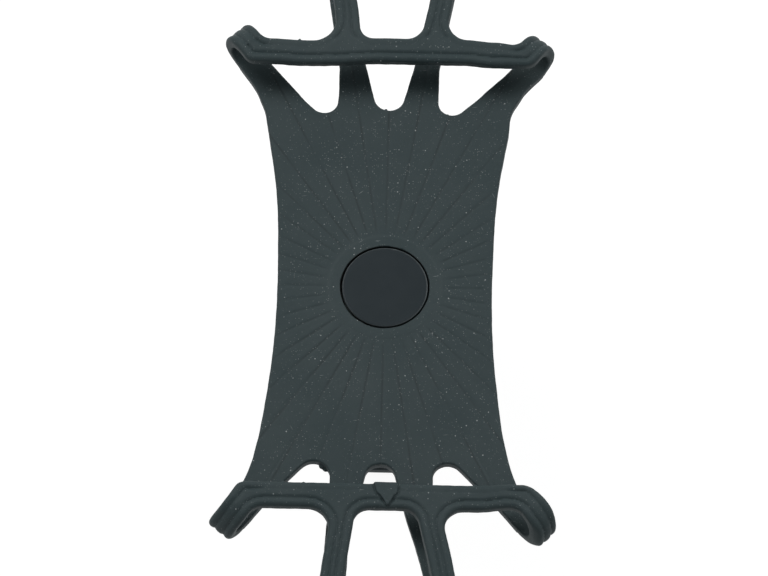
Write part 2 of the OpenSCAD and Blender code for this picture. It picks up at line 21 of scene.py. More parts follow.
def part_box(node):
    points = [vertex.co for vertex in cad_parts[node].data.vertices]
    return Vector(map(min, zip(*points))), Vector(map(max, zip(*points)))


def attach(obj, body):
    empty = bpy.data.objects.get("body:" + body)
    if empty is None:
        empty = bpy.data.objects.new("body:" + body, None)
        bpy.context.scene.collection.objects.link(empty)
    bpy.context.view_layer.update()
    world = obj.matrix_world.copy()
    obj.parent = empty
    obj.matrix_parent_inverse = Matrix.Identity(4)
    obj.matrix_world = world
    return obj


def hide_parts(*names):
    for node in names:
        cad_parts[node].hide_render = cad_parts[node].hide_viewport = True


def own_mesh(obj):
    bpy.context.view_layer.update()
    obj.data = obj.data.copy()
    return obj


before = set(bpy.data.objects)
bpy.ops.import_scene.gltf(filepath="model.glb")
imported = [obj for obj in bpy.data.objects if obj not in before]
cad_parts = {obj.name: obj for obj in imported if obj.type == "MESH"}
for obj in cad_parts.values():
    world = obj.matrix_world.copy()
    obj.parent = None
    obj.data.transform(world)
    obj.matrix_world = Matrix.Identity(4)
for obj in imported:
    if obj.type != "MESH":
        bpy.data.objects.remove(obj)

log = logging.getLogger("phone_holder")
MM = 0.001
Array = np.ndarray
Corner = tuple[float, float, float]


# Drawing tools


def arc(centre: tuple[float, float], radius: float, start: float, end: float,
        steps: int) -> list[tuple[float, float]]:
    """Points of a circular arc.

    Args:
        centre: middle of the circle.
        radius: its radius.
        start: first angle in degrees.
        end: last angle in degrees.
        steps: number of chords.

    Returns:
        steps + 1 points.
    """
    turns = [math.radians(start + (end - start) * i / steps) for i in range(steps + 1)]
    return [(centre[0] + radius * math.cos(t), centre[1] + radius * math.sin(t)) for t in turns]


def smooth(value: Array, low: float, high: float) -> Array:
    """Eased ramp from 0 at low to 1 at high.

    Args:
        value: the numbers to ramp.
        low: where the ramp starts.
        high: where it ends, which may be below low.

    Returns:
        Numbers from 0 to 1.
    """
    t = np.clip((value - low) / (high - low), 0.0, 1.0)
    return t * t * (3.0 - 2.0 * t)


def slab(across: Array, above: Array, rounding: Array | float) -> Array:
    """Distance to a plate's wall and face with a rounded edge between them.

    Args:
        across: distance outside the outline.
        above: distance outside the nearer face.
        rounding: radius of the edge.

    Returns:
        Signed distance, negative inside.
    """
    a, b = across + rounding, above + rounding
    outside = np.hypot(np.maximum(a, 0.0), np.maximum(b, 0.0))
    return outside + np.minimum(np.maximum(a, b), 0.0) - rounding


class Drawing:
    """An outline in the first quadrant, kept as a fine table of distances from its edge."""

    STEP = 0.1

    def __init__(self, points: list[tuple[float, float]], reach: tuple[float, float]) -> None:
        """Fills the table.

        Args:
            points: the closed outline, counter-clockwise. Its edges along the two axes are
                lines of symmetry and have no distance of their own.
            reach: size of the table along X and Y.
        """
        nx, ny = (int(r / self.STEP) + 2 for r in reach)
        gx, gy = np.meshgrid(np.arange(nx) * self.STEP, np.arange(ny) * self.STEP, indexing="ij")
        best = np.full(gx.shape, 1e9)
        inside = np.zeros(gx.shape, bool)
        for (x0, y0), (x1, y1) in zip(points, points[1:] + points[:1]):
            if y0 != y1:
                crosses = (gy < y0) != (gy < y1)
                inside ^= crosses & (gx < x0 + (gy - y0) * (x1 - x0) / (y1 - y0))
            if (x0 == 0 and x1 == 0) or (y0 == 0 and y1 == 0) or (x0 == x1 and y0 == y1):
                continue
            ex, ey = x1 - x0, y1 - y0
            t = np.clip(((gx - x0) * ex + (gy - y0) * ey) / (ex * ex + ey * ey), 0.0, 1.0)
            best = np.minimum(best, (gx - x0 - t * ex) ** 2 + (gy - y0 - t * ey) ** 2)
        self.table = (np.sqrt(best) * np.where(inside, -1.0, 1.0)).astype(np.float32)

    def distance(self, x: Array, y: Array) -> Array:
        """Distance from the outline's edge, negative inside.

        Args:
            x: positions along X, not negative.
            y: positions along Y, not negative.

        Returns:
            One distance for each position.
        """
        fx = np.clip(x / self.STEP, 0, self.table.shape[0] - 1.001)
        fy = np.clip(y / self.STEP, 0, self.table.shape[1] - 1.001)
        i, j = fx.astype(np.int32), fy.astype(np.int32)
        u, v = fx - i, fy - j
        t = self.table
        return ((t[i, j] * (1 - u) + t[i + 1, j] * u) * (1 - v)
                + (t[i, j + 1] * (1 - u) + t[i + 1, j + 1] * u) * v)


def skin(values: Array, low: Array, step: float) -> tuple[Array, Array]:
    """Meshes the surface where a field of distances is zero.

    Args:
        values: signed distances on a grid, negative inside.
        low: place of the grid's first point.
        step: distance between grid points.

    Returns:
        Vertices and four-cornered faces.
    """
    inside = values < 0
    shape = np.array(values.shape)
    strides = np.array([shape[1] * shape[2], shape[2], 1])
    total = int(shape.prod())
    places, cells, faces = [], [], []
    for axis in range(3):
        a = [slice(None)] * 3
        b = [slice(None)] * 3
        a[axis], b[axis] = slice(0, -1), slice(1, None)
        first, second = inside[tuple(a)], inside[tuple(b)]
        at = np.argwhere(first != second)
        v0, v1 = values[tuple(a)][tuple(at.T)], values[tuple(b)][tuple(at.T)]
        place = at.astype(float)
        place[:, axis] += v0 / (v0 - v1)
        one, two = np.eye(3, dtype=int)[(axis + 1) % 3], np.eye(3, dtype=int)[(axis + 2) % 3]
        ring = [((at - d) @ strides) for d in (one + two, two, 0 * one, one)]
        for cell in ring:
            places.append(place)
            cells.append(cell)
        quad = np.stack(ring, axis=1)
        flip = ~first[tuple(at.T)]
        quad[flip] = quad[flip][:, ::-1]
        faces.append(quad)
    cells_all, places_all = np.concatenate(cells), np.concatenate(places)
    used, index = np.unique(cells_all, return_inverse=True)
    count = np.bincount(index)
    verts = np.stack([np.bincount(index, places_all[:, k]) / count for k in range(3)], axis=1)
    lookup = np.full(total, -1, dtype=np.int64)
    lookup[used] = np.arange(len(used))
    return low + verts * step, lookup[np.concatenate(faces)]


def mesh_object(name: str, verts: Array, faces: list | Array) -> bpy.types.Object:
    """A linked, smooth-shaded mesh object.

    Args:
        name: name of the piece.
        verts: vertex places in millimetres.
        faces: vertex numbers of each face.

    Returns:
        The new object.
    """
    mesh = bpy.data.meshes.new(name)
    corners = faces.tolist() if isinstance(faces, np.ndarray) else faces
    mesh.from_pydata((verts * MM).tolist(), [], corners)
    mesh.validate()
    mesh.shade_smooth()
    obj = bpy.data.objects.new(name, mesh)
    bpy.context.scene.collection.objects.link(obj)
    return obj


def applied(obj: bpy.types.Object) -> None:
    """Replaces the object's mesh by the one its modifiers give.

    Args:
        obj: the object, which ends with no modifiers.
    """
    graph = bpy.context.evaluated_depsgraph_get()
    mesh = bpy.data.meshes.new_from_object(obj.evaluated_get(graph))
    obj.modifiers.clear()
    obj.data = mesh


# Finishes


Colour = tuple[float, float, float]
Socket = bpy.types.NodeSocket


def opaque(colour: Colour) -> tuple[float, float, float, float]:
    """The colour with full alpha."""
    return (*colour, 1.0)


class Shader:
    """A material, world or node group under construction."""

    def __init__(self, tree: bpy.types.NodeTree) -> None:
        """Starts on a cleared tree.

        Args:
            tree: the tree of nodes.
        """
        self.tree = tree
        tree.nodes.clear()

    def node(self, kind: str, **values: object) -> bpy.types.Node:
        """Adds a node.

        Args:
            kind: the node's type, without the ShaderNode prefix.
            values: properties, or inputs named in_ and the socket's number or name.

        Returns:
            The node.
        """
        made = self.tree.nodes.new("ShaderNode" + kind)
        for key, value in values.items():
            if not key.startswith("in_"):
                setattr(made, key, value)
                continue
            name = key[3:]
            socket = made.inputs[int(name) if name.isdigit() else name.replace("_", " ")]
            if isinstance(value, Socket):
                self.tree.links.new(value, socket)
            else:
                socket.default_value = value
        return made

    def maths(self, operation: str, first: Socket | float, second: Socket | float = 0.0,
              clamp: bool = False) -> Socket:
        """The result of a Math node.

        Args:
            operation: the node's operation.
            first: a socket or number.
            second: a socket or number.
            clamp: whether the result stays within 0 and 1.

        Returns:
            The output socket.
        """
        return self.node("Math", operation=operation, in_0=first, in_1=second,
                         use_clamp=clamp).outputs[0]

    def times(self, first: Socket | float, second: Socket | float, clamp: bool = False) -> Socket:
        """The product of two sockets or numbers."""
        return self.maths("MULTIPLY", first, second, clamp)

    def ramp(self, value: Socket, low: float, high: float, start: float = 0.0,
             end: float = 1.0) -> Socket:
        """Start below low, end above high, and a straight ramp between."""
        return self.node("MapRange", in_Value=value, in_1=low, in_2=high, in_3=start,
                         in_4=end).outputs[0]

    def blend(self, share: Socket, first: Socket | Colour, second: Socket | Colour) -> Socket:
        """A mix of two colours.

        Args:
            share: how much of the second one there is.
            first: a colour or socket.
            second: a colour or socket.

        Returns:
            The output socket.
        """
        pair = [opaque(c) if isinstance(c, tuple) else c for c in (first, second)]
        return self.node("Mix", data_type="RGBA", in_0=share, in_6=pair[0], in_7=pair[1]).outputs[2]

    def place(self) -> Socket:
        """The position in the piece's own coordinates."""
        return self.node("TexCoord").outputs["Object"]

    def from_axis(self) -> tuple[bpy.types.NodeOutputs, Socket]:
        """Measures how far a position is from the Z axis.

        Returns:
            The position's three parts, and the distance.
        """
        way = self.node("SeparateXYZ", in_Vector=self.place()).outputs
        return way, self.maths("SQRT", self.maths("ADD", self.times(way[0], way[0]),
                                                  self.times(way[1], way[1])))

    def seen(self, *rays: str) -> Socket:
        """Tells kinds of ray from all others.

        Args:
            rays: names of the Light Path node's outputs.

        Returns:
            1 for a ray of one of these kinds, else 0.
        """
        path = self.node("LightPath").outputs
        share = path[rays[0]]
        for ray in rays[1:]:
            share = self.maths("MAXIMUM", share, path[ray])
        return share

    def output(self, surface: bpy.types.Node, kind: str = "OutputMaterial") -> None:
        """Links a shader node to the tree's output."""
        self.tree.links.new(surface.outputs[0], self.node(kind).inputs[0])

    def surface(self, colour: Socket, rough: Socket, bump: bpy.types.Node,
                plain: dict[str, float]) -> None:
        """Ends a material with its Principled shader.

        Args:
            colour: base colour.
            rough: roughness.
            bump: the Bump node that gives the normal.
            plain: numbers that are the same all over, by socket.
        """
        shader = self.node("BsdfPrincipled", in_Base_Color=colour, in_Roughness=rough,
                           in_Normal=bump.outputs[0])
        for key, value in plain.items():
            shader.inputs[key].default_value = value
        self.output(shader)


def new_material(name: str) -> tuple[bpy.types.Material, Shader]:
    """Starts a material.

    Args:
        name: the material's name.

    Returns:
        The material and its tree.
    """
    made = bpy.data.materials.new(name)
    made.use_nodes = True
    return made, Shader(made.node_tree)


class Effects:
    """Node groups that several finishes share, each built once."""

    built: dict[str, bpy.types.NodeTree] = {}

    @classmethod
    def group(cls, name: str, output: str,
              **inputs: float) -> tuple[Shader, bpy.types.NodeOutputs]:
        """Starts a node group.

        Args:
            name: the group's name.
            output: name of its one output, a number.
            inputs: its number inputs and their defaults.

        Returns:
            The group's tree and the sockets of its inputs.
        """
        tree = bpy.data.node_groups.new(name, "ShaderNodeTree")
        cls.built[name] = tree
        shader = Shader(tree)
        for key, value in inputs.items():
            socket = tree.interface.new_socket(key, in_out="INPUT", socket_type="NodeSocketFloat")
            socket.default_value = value
        tree.interface.new_socket(output, in_out="OUTPUT", socket_type="NodeSocketFloat")
        return shader, tree.nodes.new("NodeGroupInput").outputs

    @classmethod
    def end(cls, shader: Shader, result: Socket) -> None:
        """Links a result to the group's output."""
        shader.tree.links.new(result, shader.tree.nodes.new("NodeGroupOutput").inputs[0])

    @classmethod
    def place(cls, shader: Shader, name: str, **values: float) -> Socket:
        """Puts a group into a material.

        Args:
            shader: the material's tree.
            name: the group's name.
            values: its inputs.

        Returns:
            The group's output.
        """
        node = shader.tree.nodes.new("ShaderNodeGroup")
        node.node_tree = cls.built[name]
        for key, value in values.items():
            node.inputs[key].default_value = value
        return node.outputs[0]

    @classmethod
    def build(cls) -> None:
        """Builds every group."""
        for make in (cls.dust, cls.rays, cls.ring, cls.grain, cls.scuffs, cls.mottle):
            make()

    @classmethod
    def dust(cls) -> None:
        """Sparse light specks, each of its own size."""
        s, given = cls.group("Dust specks", "Mask", Scale=900.0, Size=0.12, Share=0.3)
        cell = s.node("TexVoronoi", in_Vector=s.place(), in_Scale=given["Scale"]).outputs
        pick = s.node("SeparateColor", in_Color=cell["Color"]).outputs
        size = s.times(given["Size"], s.maths("ADD", pick[1], 0.35))
        near = s.maths("DIVIDE", cell["Distance"], size)
        dot = s.maths("SUBTRACT", 1.0, s.maths("POWER", near, 2.0), clamp=True)
        bright = s.times(dot, s.maths("ADD", s.times(pick[2], 0.8), 0.2))
        cls.end(s, s.times(bright, s.maths("LESS_THAN", pick[0], given["Share"])))

    @classmethod
    def rays(cls) -> None:
        """Lines on the plate's face that run out from the Z axis, one every Step degrees."""
        s, given = cls.group("Radial lines", "Mask", Step=9.0, Width=0.0002)
        way, far = s.from_axis()
        turn = s.maths("DEGREES", s.maths("ARCTAN2", way[0], way[1]))
        off = s.maths("PINGPONG", turn, s.times(given["Step"], 0.5))
        away = s.times(s.maths("RADIANS", off), far)
        line = s.maths("SUBTRACT", 1.0, s.maths("DIVIDE", away, given["Width"]), clamp=True)
        level = s.maths("ABSOLUTE", s.maths("SINE", s.maths("ARCTAN2", way[1], way[0])))
        for share in (s.ramp(level, 0.05, 0.75, 0.25), s.ramp(far, 0.0128, 0.0150),
                      s.ramp(way[2], 0.0352, 0.0356), s.ramp(way[2], 0.0368, 0.0364)):
            line = s.times(line, share)
        cls.end(s, line)

    @classmethod
    def ring(cls) -> None:
        """A thin ring round the Z axis."""
        s, given = cls.group("Ring", "Mask", Radius=0.01, Width=0.0002)
        off = s.maths("ABSOLUTE", s.maths("SUBTRACT", s.from_axis()[1], given["Radius"]))
        cls.end(s, s.maths("SUBTRACT", 1.0, s.maths("DIVIDE", off, given["Width"]), clamp=True))

    @classmethod
    def grain(cls) -> None:
        """Fine moulded grain."""
        s, given = cls.group("Moulded grain", "Height", Scale=4000.0)
        place = s.place()
        fine = s.node("TexNoise", in_Vector=place, in_Scale=given["Scale"], in_Detail=3.0)
        coarse = s.node("TexNoise", in_Vector=place, in_Detail=2.0,
                        in_Scale=s.times(given["Scale"], 0.22))
        cls.end(s, s.maths("ADD", fine.outputs[0], s.times(coarse.outputs[0], 1.4)))

    @classmethod
    def scuffs(cls) -> None:
        """Short faint scuffs that lie in a few directions."""
        s, given = cls.group("Faint scuffs", "Mask", Scale=2000.0, Share=0.02, Width=0.2)
        place = s.place()
        total: Socket | float = 0.0
        for turn, shift in ((0.5, 0.0), (-0.9, 0.31), (1.7, 0.57)):
            bent = s.node("Mapping", vector_type="TEXTURE", in_Vector=place,
                          in_Rotation=(0.0, 0.0, turn), in_Location=(shift, shift, 0.0),
                          in_Scale=(1.0, 8.0, 1.0))
            cell = s.node("TexVoronoi", in_Vector=bent.outputs[0],
                          in_Scale=given["Scale"]).outputs
            pick = s.node("SeparateColor", in_Color=cell["Color"]).outputs
            wanted = s.maths("LESS_THAN", pick[0], given["Share"])
            near = s.maths("DIVIDE", cell["Distance"], given["Width"])
            line = s.maths("SUBTRACT", 1.0, near, clamp=True)
            total = s.maths("ADD", total, s.times(line, s.times(wanted, pick[1])))
        cls.end(s, total)

    @classmethod
    def mottle(cls) -> None:
        """Slow, soft variation from place to place."""
        s, given = cls.group("Mottle", "Mask", Scale=60.0)
        noise = s.node("TexNoise", in_Vector=s.place(), in_Scale=given["Scale"], in_Detail=4.0,
                       in_Roughness=0.6)
        cls.end(s, noise.outputs[0])


@dataclass(frozen=True)
class SiliconeFinish:
    """Matt moulded silicone with dust in its grooves and on its skin, painted shade along its radial
    grooves and, when ringed, a painted dark ring in the gap round the cap.
    """

    name: str = "Web silicone"
    body: Colour = (0.0245, 0.0405, 0.0435)
    dusty: Colour = (0.060, 0.076, 0.078)
    speck: Colour = (0.42, 0.45, 0.45)
    # The next two colours are painted shade: the radial grooves' shade and the near-black of the gap
    # round the cap.
    shade: Colour = (0.008, 0.012, 0.013)
    gap_shade: Colour = (0.002, 0.003, 0.003)
    roughness: float = 0.62
    specular: float = 0.28
    dusted: float = 1.0
    ringed: float = 0.1

    def dust(self, s: Shader) -> Socket:
        """Big specks here and there, and small ones that gather in patches and grooves.

        Args:
            s: the material's tree.

        Returns:
            The specks' mask.
        """
        big = Effects.place(s, "Dust specks", Scale=850.0, Size=0.13, Share=0.28)
        small = Effects.place(s, "Dust specks", Scale=2300.0, Size=0.26, Share=0.5)
        settled = Effects.place(s, "Radial lines", Step=9.0, Width=0.0011)
        patchy = Effects.place(s, "Mottle", Scale=140.0)
        heaped = s.times(s.maths("SUBTRACT", patchy, 0.35), 3.0, clamp=True)
        thick = s.maths("ADD", 0.15, s.maths("MAXIMUM", heaped, s.times(settled, 1.1)))
        return s.maths("ADD", s.times(big, 1.2 * self.dusted),
                       s.times(s.times(small, thick), 0.5 * self.dusted), clamp=True)

    def material(self) -> bpy.types.Material:
        """Lays cloudiness, scuffs, painted shade along the radial grooves, dust and a painted dark
        ring in the gap round the cap over the body colour.

        Returns:
            The finished material.
        """
        made, s = new_material(self.name)
        mottle = Effects.place(s, "Mottle", Scale=55.0)
        cloudy = s.times(s.maths("SUBTRACT", mottle, 0.36), 0.95, clamp=True)
        ring = Effects.place(s, "Ring", Radius=0.0126, Width=0.0006)
        colour = s.blend(s.maths("ADD", cloudy, s.times(ring, self.ringed), clamp=True),
                         self.body, self.dusty)
        scuffs = Effects.place(s, "Faint scuffs", Scale=2500.0, Share=0.015, Width=0.25)
        colour = s.blend(s.times(scuffs, 0.45 * self.dusted, clamp=True), colour, self.speck)
        # Painted shade: the radial grooves are darkened in the colour, patchily where the mottle is
        # high; the same lines also dent the bump.
        faded = s.times(s.maths("SUBTRACT", mottle, 0.34), 4.2, clamp=True)
        groove_shade_and_bump = s.times(Effects.place(s, "Radial lines", Step=9.0, Width=0.0004), faded)
        colour = s.blend(s.times(groove_shade_and_bump, 0.45), colour, self.shade)
        colour = s.blend(self.dust(s), colour, self.speck)
        # Painted shade: a near-black ring in the colour where the deep gap round the cap lies.
        if self.ringed:
            gap_shade_mask = Effects.place(s, "Ring", Radius=0.0098, Width=0.0003)
            colour = s.blend(s.times(gap_shade_mask, 2.0, clamp=True), colour, self.gap_shade)
        grain = Effects.place(s, "Moulded grain", Scale=2600.0)
        fine = s.node("Bump", in_Strength=0.25, in_Distance=0.00012, in_Height=grain)
        bump = s.node("Bump", in_Strength=1.0, in_Distance=0.00003, in_Normal=fine.outputs[0],
                      in_Height=s.maths("SUBTRACT", 1.0, groove_shade_and_bump))
        rough = s.maths("ADD", self.roughness - 0.05, s.times(mottle, 0.14))
        s.surface(colour, rough, bump, {"Specular IOR Level": self.specular})
        return made


@dataclass(frozen=True)
class PlasticFinish:
    """Moulded plastic, from satin to coarsely grained."""

    name: str
    body: Colour
    roughness: float = 0.45
    grain: float = 0.2
    grain_scale: float = 3200.0
    dusted: float = 0.3
    specular: float = 0.4
    highlight_ring_r: float = 0.0
    worn: Colour = (0.3, 0.31, 0.31)
    rim_highlight: Colour = (0.16, 0.18, 0.18)

    def material(self) -> bpy.types.Material:
        """Lays scuffs, specks and a painted highlight ring on the rim over the body colour.

        Returns:
            The finished material.
        """
        made, s = new_material(self.name)
        mottle = Effects.place(s, "Mottle", Scale=90.0)
        specks = Effects.place(s, "Dust specks", Scale=800.0, Size=0.13, Share=0.06)
        scuffs = Effects.place(s, "Faint scuffs", Scale=1700.0, Share=0.012, Width=0.22)
        lighter = tuple(min(1.0, c * 1.8 + 0.02) for c in self.body)
        colour = s.blend(s.times(mottle, 0.25), self.body, lighter)
        marks = s.times(s.maths("MAXIMUM", scuffs, specks), self.dusted, clamp=True)
        colour = s.blend(marks, colour, self.worn)
        # Painted highlight: a lighter thin ring on the cap's rounded rim.
        if self.highlight_ring_r:
            ring = Effects.place(s, "Ring", Radius=self.highlight_ring_r, Width=0.00018)
            colour = s.blend(s.times(ring, 0.32), colour, self.rim_highlight)
        grain = Effects.place(s, "Moulded grain", Scale=self.grain_scale)
        bump = s.node("Bump", in_Strength=self.grain, in_Distance=0.0001, in_Height=grain)
        rough = s.maths("ADD", self.roughness - 0.06, s.times(mottle, 0.16))
        s.surface(colour, rough, bump, {"Specular IOR Level": self.specular})
        return made


@dataclass(frozen=True)
class MetalFinish:
    """Turned, stamped or drawn metal with fine marks of its making."""

    name: str
    body: Colour
    roughness: float = 0.3

    def material(self) -> bpy.types.Material:
        """Varies colour and roughness with the marks of the metal's making.

        Returns:
            The finished material.
        """
        made, s = new_material(self.name)
        mottle = Effects.place(s, "Mottle", Scale=400.0)
        scuffs = Effects.place(s, "Faint scuffs", Scale=2500.0, Share=0.2, Width=0.25)
        colour = s.blend(mottle, self.body, tuple(c * 0.72 for c in self.body))
        marks = s.maths("ADD", s.times(mottle, 0.16), s.times(scuffs, 0.2))
        bump = s.node("Bump", in_Strength=0.12, in_Distance=0.00005, in_Height=scuffs)
        s.surface(colour, s.maths("ADD", self.roughness - 0.08, marks), bump, {"Metallic": 1.0})
        return made


class Finish(Enum):
    """The finishes that the pieces choose from."""

    WEB = SiliconeFinish()
    STRAP = SiliconeFinish(name="Strap silicone", body=(0.026, 0.036, 0.041), dusted=0.5,
                           ringed=0.0)
    RUBBER = PlasticFinish("Pad rubber", (0.012, 0.012, 0.013), roughness=0.7, grain=0.5)
    CAP = PlasticFinish("Cap plastic", (0.008, 0.0155, 0.0195), roughness=0.36, grain=0.05,
                        dusted=0.45, specular=0.24, highlight_ring_r=0.0095)
    BASE = PlasticFinish("Base plastic", (0.018, 0.020, 0.022), roughness=0.5, grain=0.6,
                         grain_scale=2200.0)
    BUTTON = PlasticFinish("Button plastic", (0.075, 0.083, 0.09), roughness=0.42, grain=0.2)
    WASHER = PlasticFinish("Bearing plastic", (0.7, 0.69, 0.65), roughness=0.4, grain=0.1,
                           dusted=0.0)
    STEEL = MetalFinish("Turned steel", (0.56, 0.57, 0.58))
    BRONZE = MetalFinish("Bush bronze", (0.6, 0.42, 0.2), roughness=0.35)

    def get(self) -> bpy.types.Material:
        """The finish's material, made when it is first asked for."""
        return bpy.data.materials.get(self.value.name) or self.value.material()


def dress(obj: bpy.types.Object, finish: Finish) -> None:
    """Gives every slot of the piece one finish.

    Args:
        obj: the piece.
        finish: what it is made of.
    """
    slots = obj.data.materials
    if not slots:
        slots.append(finish.get())
    for i in range(len(slots)):
        slots[i] = finish.get()


class Piece:
    """A piece that stands for one node of the construction."""

    node: str
    finish: Finish
    slot: str
    body: str

    def dress(self, obj: bpy.types.Object) -> None:
        """Finishes the piece and puts it in the frame.

        Args:
            obj: its object.
        """
        dress(obj, self.finish)
        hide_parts(self.node)
        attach(obj, self.body)


# Moulded pieces


class Moulded(Piece):
    """A soft or smooth piece whose skin lies where a field of distances is zero.

    A grid between the corners low and high, in steps of grid, finds the skin.
    """

    FAR = 0.12
    name: str
    low: Corner
    high: Corner
    grid: float
    coarser: float = 1.0
    budget: int = 190000

    def field(self, x: Array, y: Array, z: Array) -> Array:
        """Signed distances from the skin, negative inside."""
        raise NotImplementedError

    def normals(self, p: Array, reach: float = 0.05) -> Array:
        """Unit normals of the surface at some points.

        Args:
            p: the points.
            reach: how far to each side the field is compared.

        Returns:
            One normal for each point.
        """
        out = np.empty_like(p)
        for k in range(3):
            step = np.zeros(3)
            step[k] = reach
            a, b = p + step, p - step
            out[:, k] = self.field(*a.T) - self.field(*b.T)
        return out / np.maximum(np.linalg.norm(out, axis=1, keepdims=True), 1e-9)

    def settle(self, p: Array, rounds: int) -> Array:
        """Moves points onto the surface.

        Args:
            p: points close to it.
            rounds: number of steps.

        Returns:
            The moved points.
        """
        for _ in range(rounds):
            away = np.clip(self.field(*p.T), -self.FAR, self.FAR)
            p = p - away[:, None] * self.normals(p)
        return p

    def build(self) -> bpy.types.Object:
        """Meshes the piece, thins the mesh and shades it from the true surface.

        Returns:
            The new object.
        """
        step = self.grid * 1.0
        start = np.array(self.low)
        n = ((np.array(self.high) - start) / step).astype(int) + 1
        gx = np.broadcast_to((start[0] + np.arange(n[0]) * step)[:, None], (n[0], n[1]))
        gy = np.broadcast_to((start[1] + np.arange(n[1]) * step)[None, :], (n[0], n[1]))
        values = np.empty(tuple(n), np.float32)
        for k in range(n[2]):
            values[:, :, k] = self.field(gx, gy, np.full(gx.shape, start[2] + k * step))
        verts, faces = skin(values, start, step)
        obj = mesh_object(self.name, self.settle(verts, 2), faces)
        count = len(faces) * 2
        if count > self.budget:
            thin = obj.modifiers.new("thin", "DECIMATE")
            thin.ratio = self.budget / count
            applied(obj)
        mesh = obj.data
        flat = np.empty(len(mesh.vertices) * 3)
        mesh.vertices.foreach_get("co", flat)
        p = self.settle(flat.reshape(-1, 3) / MM, 1)
        mesh.vertices.foreach_set("co", (p * MM).ravel())
        mesh.shade_smooth()
        mesh.normals_split_custom_set_from_vertices(self.normals(p).tolist())
        return obj


# The silicone web


@dataclass(frozen=True)
class Nudge:
    """A small lasting bend of the soft web, eased in along each axis."""

    shift: tuple[float, float]
    x: tuple[float, float] | None = None
    y: tuple[float, float] | None = None
    z: tuple[float, float] | None = None

    def share(self, x: Array, y: Array, z: Array) -> Array:
        """How much of the shift each position gets.

        Args:
            x: positions along X.
            y: positions along Y.
            z: positions along Z.

        Returns:
            Numbers from 0 to 1.
        """
        out = 1.0
        for value, ramp in ((x, self.x), (y, self.y), (z, self.z)):
            if ramp:
                out = out * smooth(value, *ramp)
        return out


# Heights over which the front layer and the rear layer of the web take a bend
FRONT, REAR, FRONT_LEGS = (35.8, 44.4), (42.5, 36.2), (37.0, 44.4)
# The bends of the real web, each as a shift in millimetres
NUDGES = (
    # Lower cross band and the long straps below it
    Nudge((1.6, 0.0), y=(-46, -56), z=FRONT),
    Nudge((0.9, 0.0), y=(-56, -76), z=FRONT_LEGS),
    Nudge((-0.5, 0.0), x=(0, -8), y=(-58, -72), z=FRONT_LEGS),
    Nudge((0.3, 0.0), x=(0, 8), y=(-56, -66), z=FRONT_LEGS),
    Nudge((1.5, 0.0), y=(-54, -73), z=REAR),
    # Upper cross band, bowed up in its middle, and its long straps
    Nudge((0.0, 0.1), y=(45, 51), z=FRONT),
    Nudge((0.0, -0.3), x=(-8, -19), y=(45, 51), z=FRONT),
    Nudge((0.0, 0.3), x=(-20, -26), y=(45, 51), z=FRONT),
    Nudge((0.0, 0.58), x=(-12, -2), y=(45, 51), z=FRONT),
    Nudge((0.0, -0.5), x=(17, 23), y=(45, 51), z=FRONT),
    Nudge((0.5, 0.0), y=(54, 66), z=FRONT_LEGS),
    # Upper corner straps
    Nudge((0.6, 0.0), x=(-26, -34), y=(49, 56)),
    Nudge((-1.25, -1.05), x=(27, 34), y=(51, 57)),
    Nudge((0.0, -0.5), x=(24, 28), y=(52, 56), z=FRONT),
    Nudge((0.0, 0.9), x=(32, 36), y=(52, 56), z=FRONT),
    Nudge((-0.4, -0.3), x=(-14, -18), y=(42, 48), z=REAR),
    Nudge((0.6, -0.4), x=(14, 18), y=(42, 48), z=REAR),
    # Lower corner straps
    Nudge((0.1, 0.05), x=(-24, -32), y=(-47, -55)),
    Nudge((0.1, 0.0), x=(-28, -35), y=(-53, -59)),
    Nudge((0.35, 0.75), x=(22, 29), y=(-47, -53)),
    Nudge((-0.1, -0.5), x=(29, 35), y=(-52, -58)),
    Nudge((0.5, -0.45), x=(33.8, 36.4), y=(-56, -61)),
    Nudge((0.35, -0.35), x=(-23, -29), y=(-46, -53), z=REAR),
    Nudge((-0.55, -0.45), x=(23, 30), y=(-46, -54), z=REAR),
    # Sides of the plate
    Nudge((0.25, 0.0), x=(0, -22), y=(5, 20), z=REAR),
    Nudge((-0.25, 0.0), x=(0, 22), y=(5, 20), z=REAR),
    Nudge((-0.5, 0.0), x=(0, -22), y=(24, 41), z=REAR),
    Nudge((0.45, 0.0), x=(0, 22), y=(24, 41), z=REAR),
    Nudge((0.3, 0.0), x=(0, -22), y=(45, 48), z=REAR),
    Nudge((-0.5, 0.0), x=(0, -25), y=(-5, -42), z=REAR),
    Nudge((0.55, 0.0), x=(0, 25), y=(-5, -42), z=REAR),
    Nudge((-0.5, 0.0), x=(-10, -26), y=(-34, -46), z=REAR),
    Nudge((0.65, 0.0), x=(10, 26), y=(-34, -46), z=REAR),
    # Closed ends of the slots
    Nudge((0.0, 0.7), y=(30, 42), z=REAR),
    Nudge((0.0, 0.2), x=(-10, -5), y=(36, 42), z=REAR),
    Nudge((0.0, -0.2), x=(5, 10), y=(36, 42), z=REAR),
    Nudge((-0.45, 0.0), x=(7, 12), y=(38, 44), z=REAR),
    Nudge((0.6, 0.0), x=(10, 18), y=(48, 53), z=REAR),
    Nudge((0.0, -0.25), x=(6, 11), y=(-30, -42), z=REAR),
    Nudge((0.0, -0.25), x=(-6, -11), y=(-30, -42), z=REAR),
    Nudge((0.5, 0.0), x=(-16, -13), y=(-42, -46), z=REAR),
    Nudge((-0.5, 0.0), x=(-8, -5), y=(-42, -46), z=REAR),
)


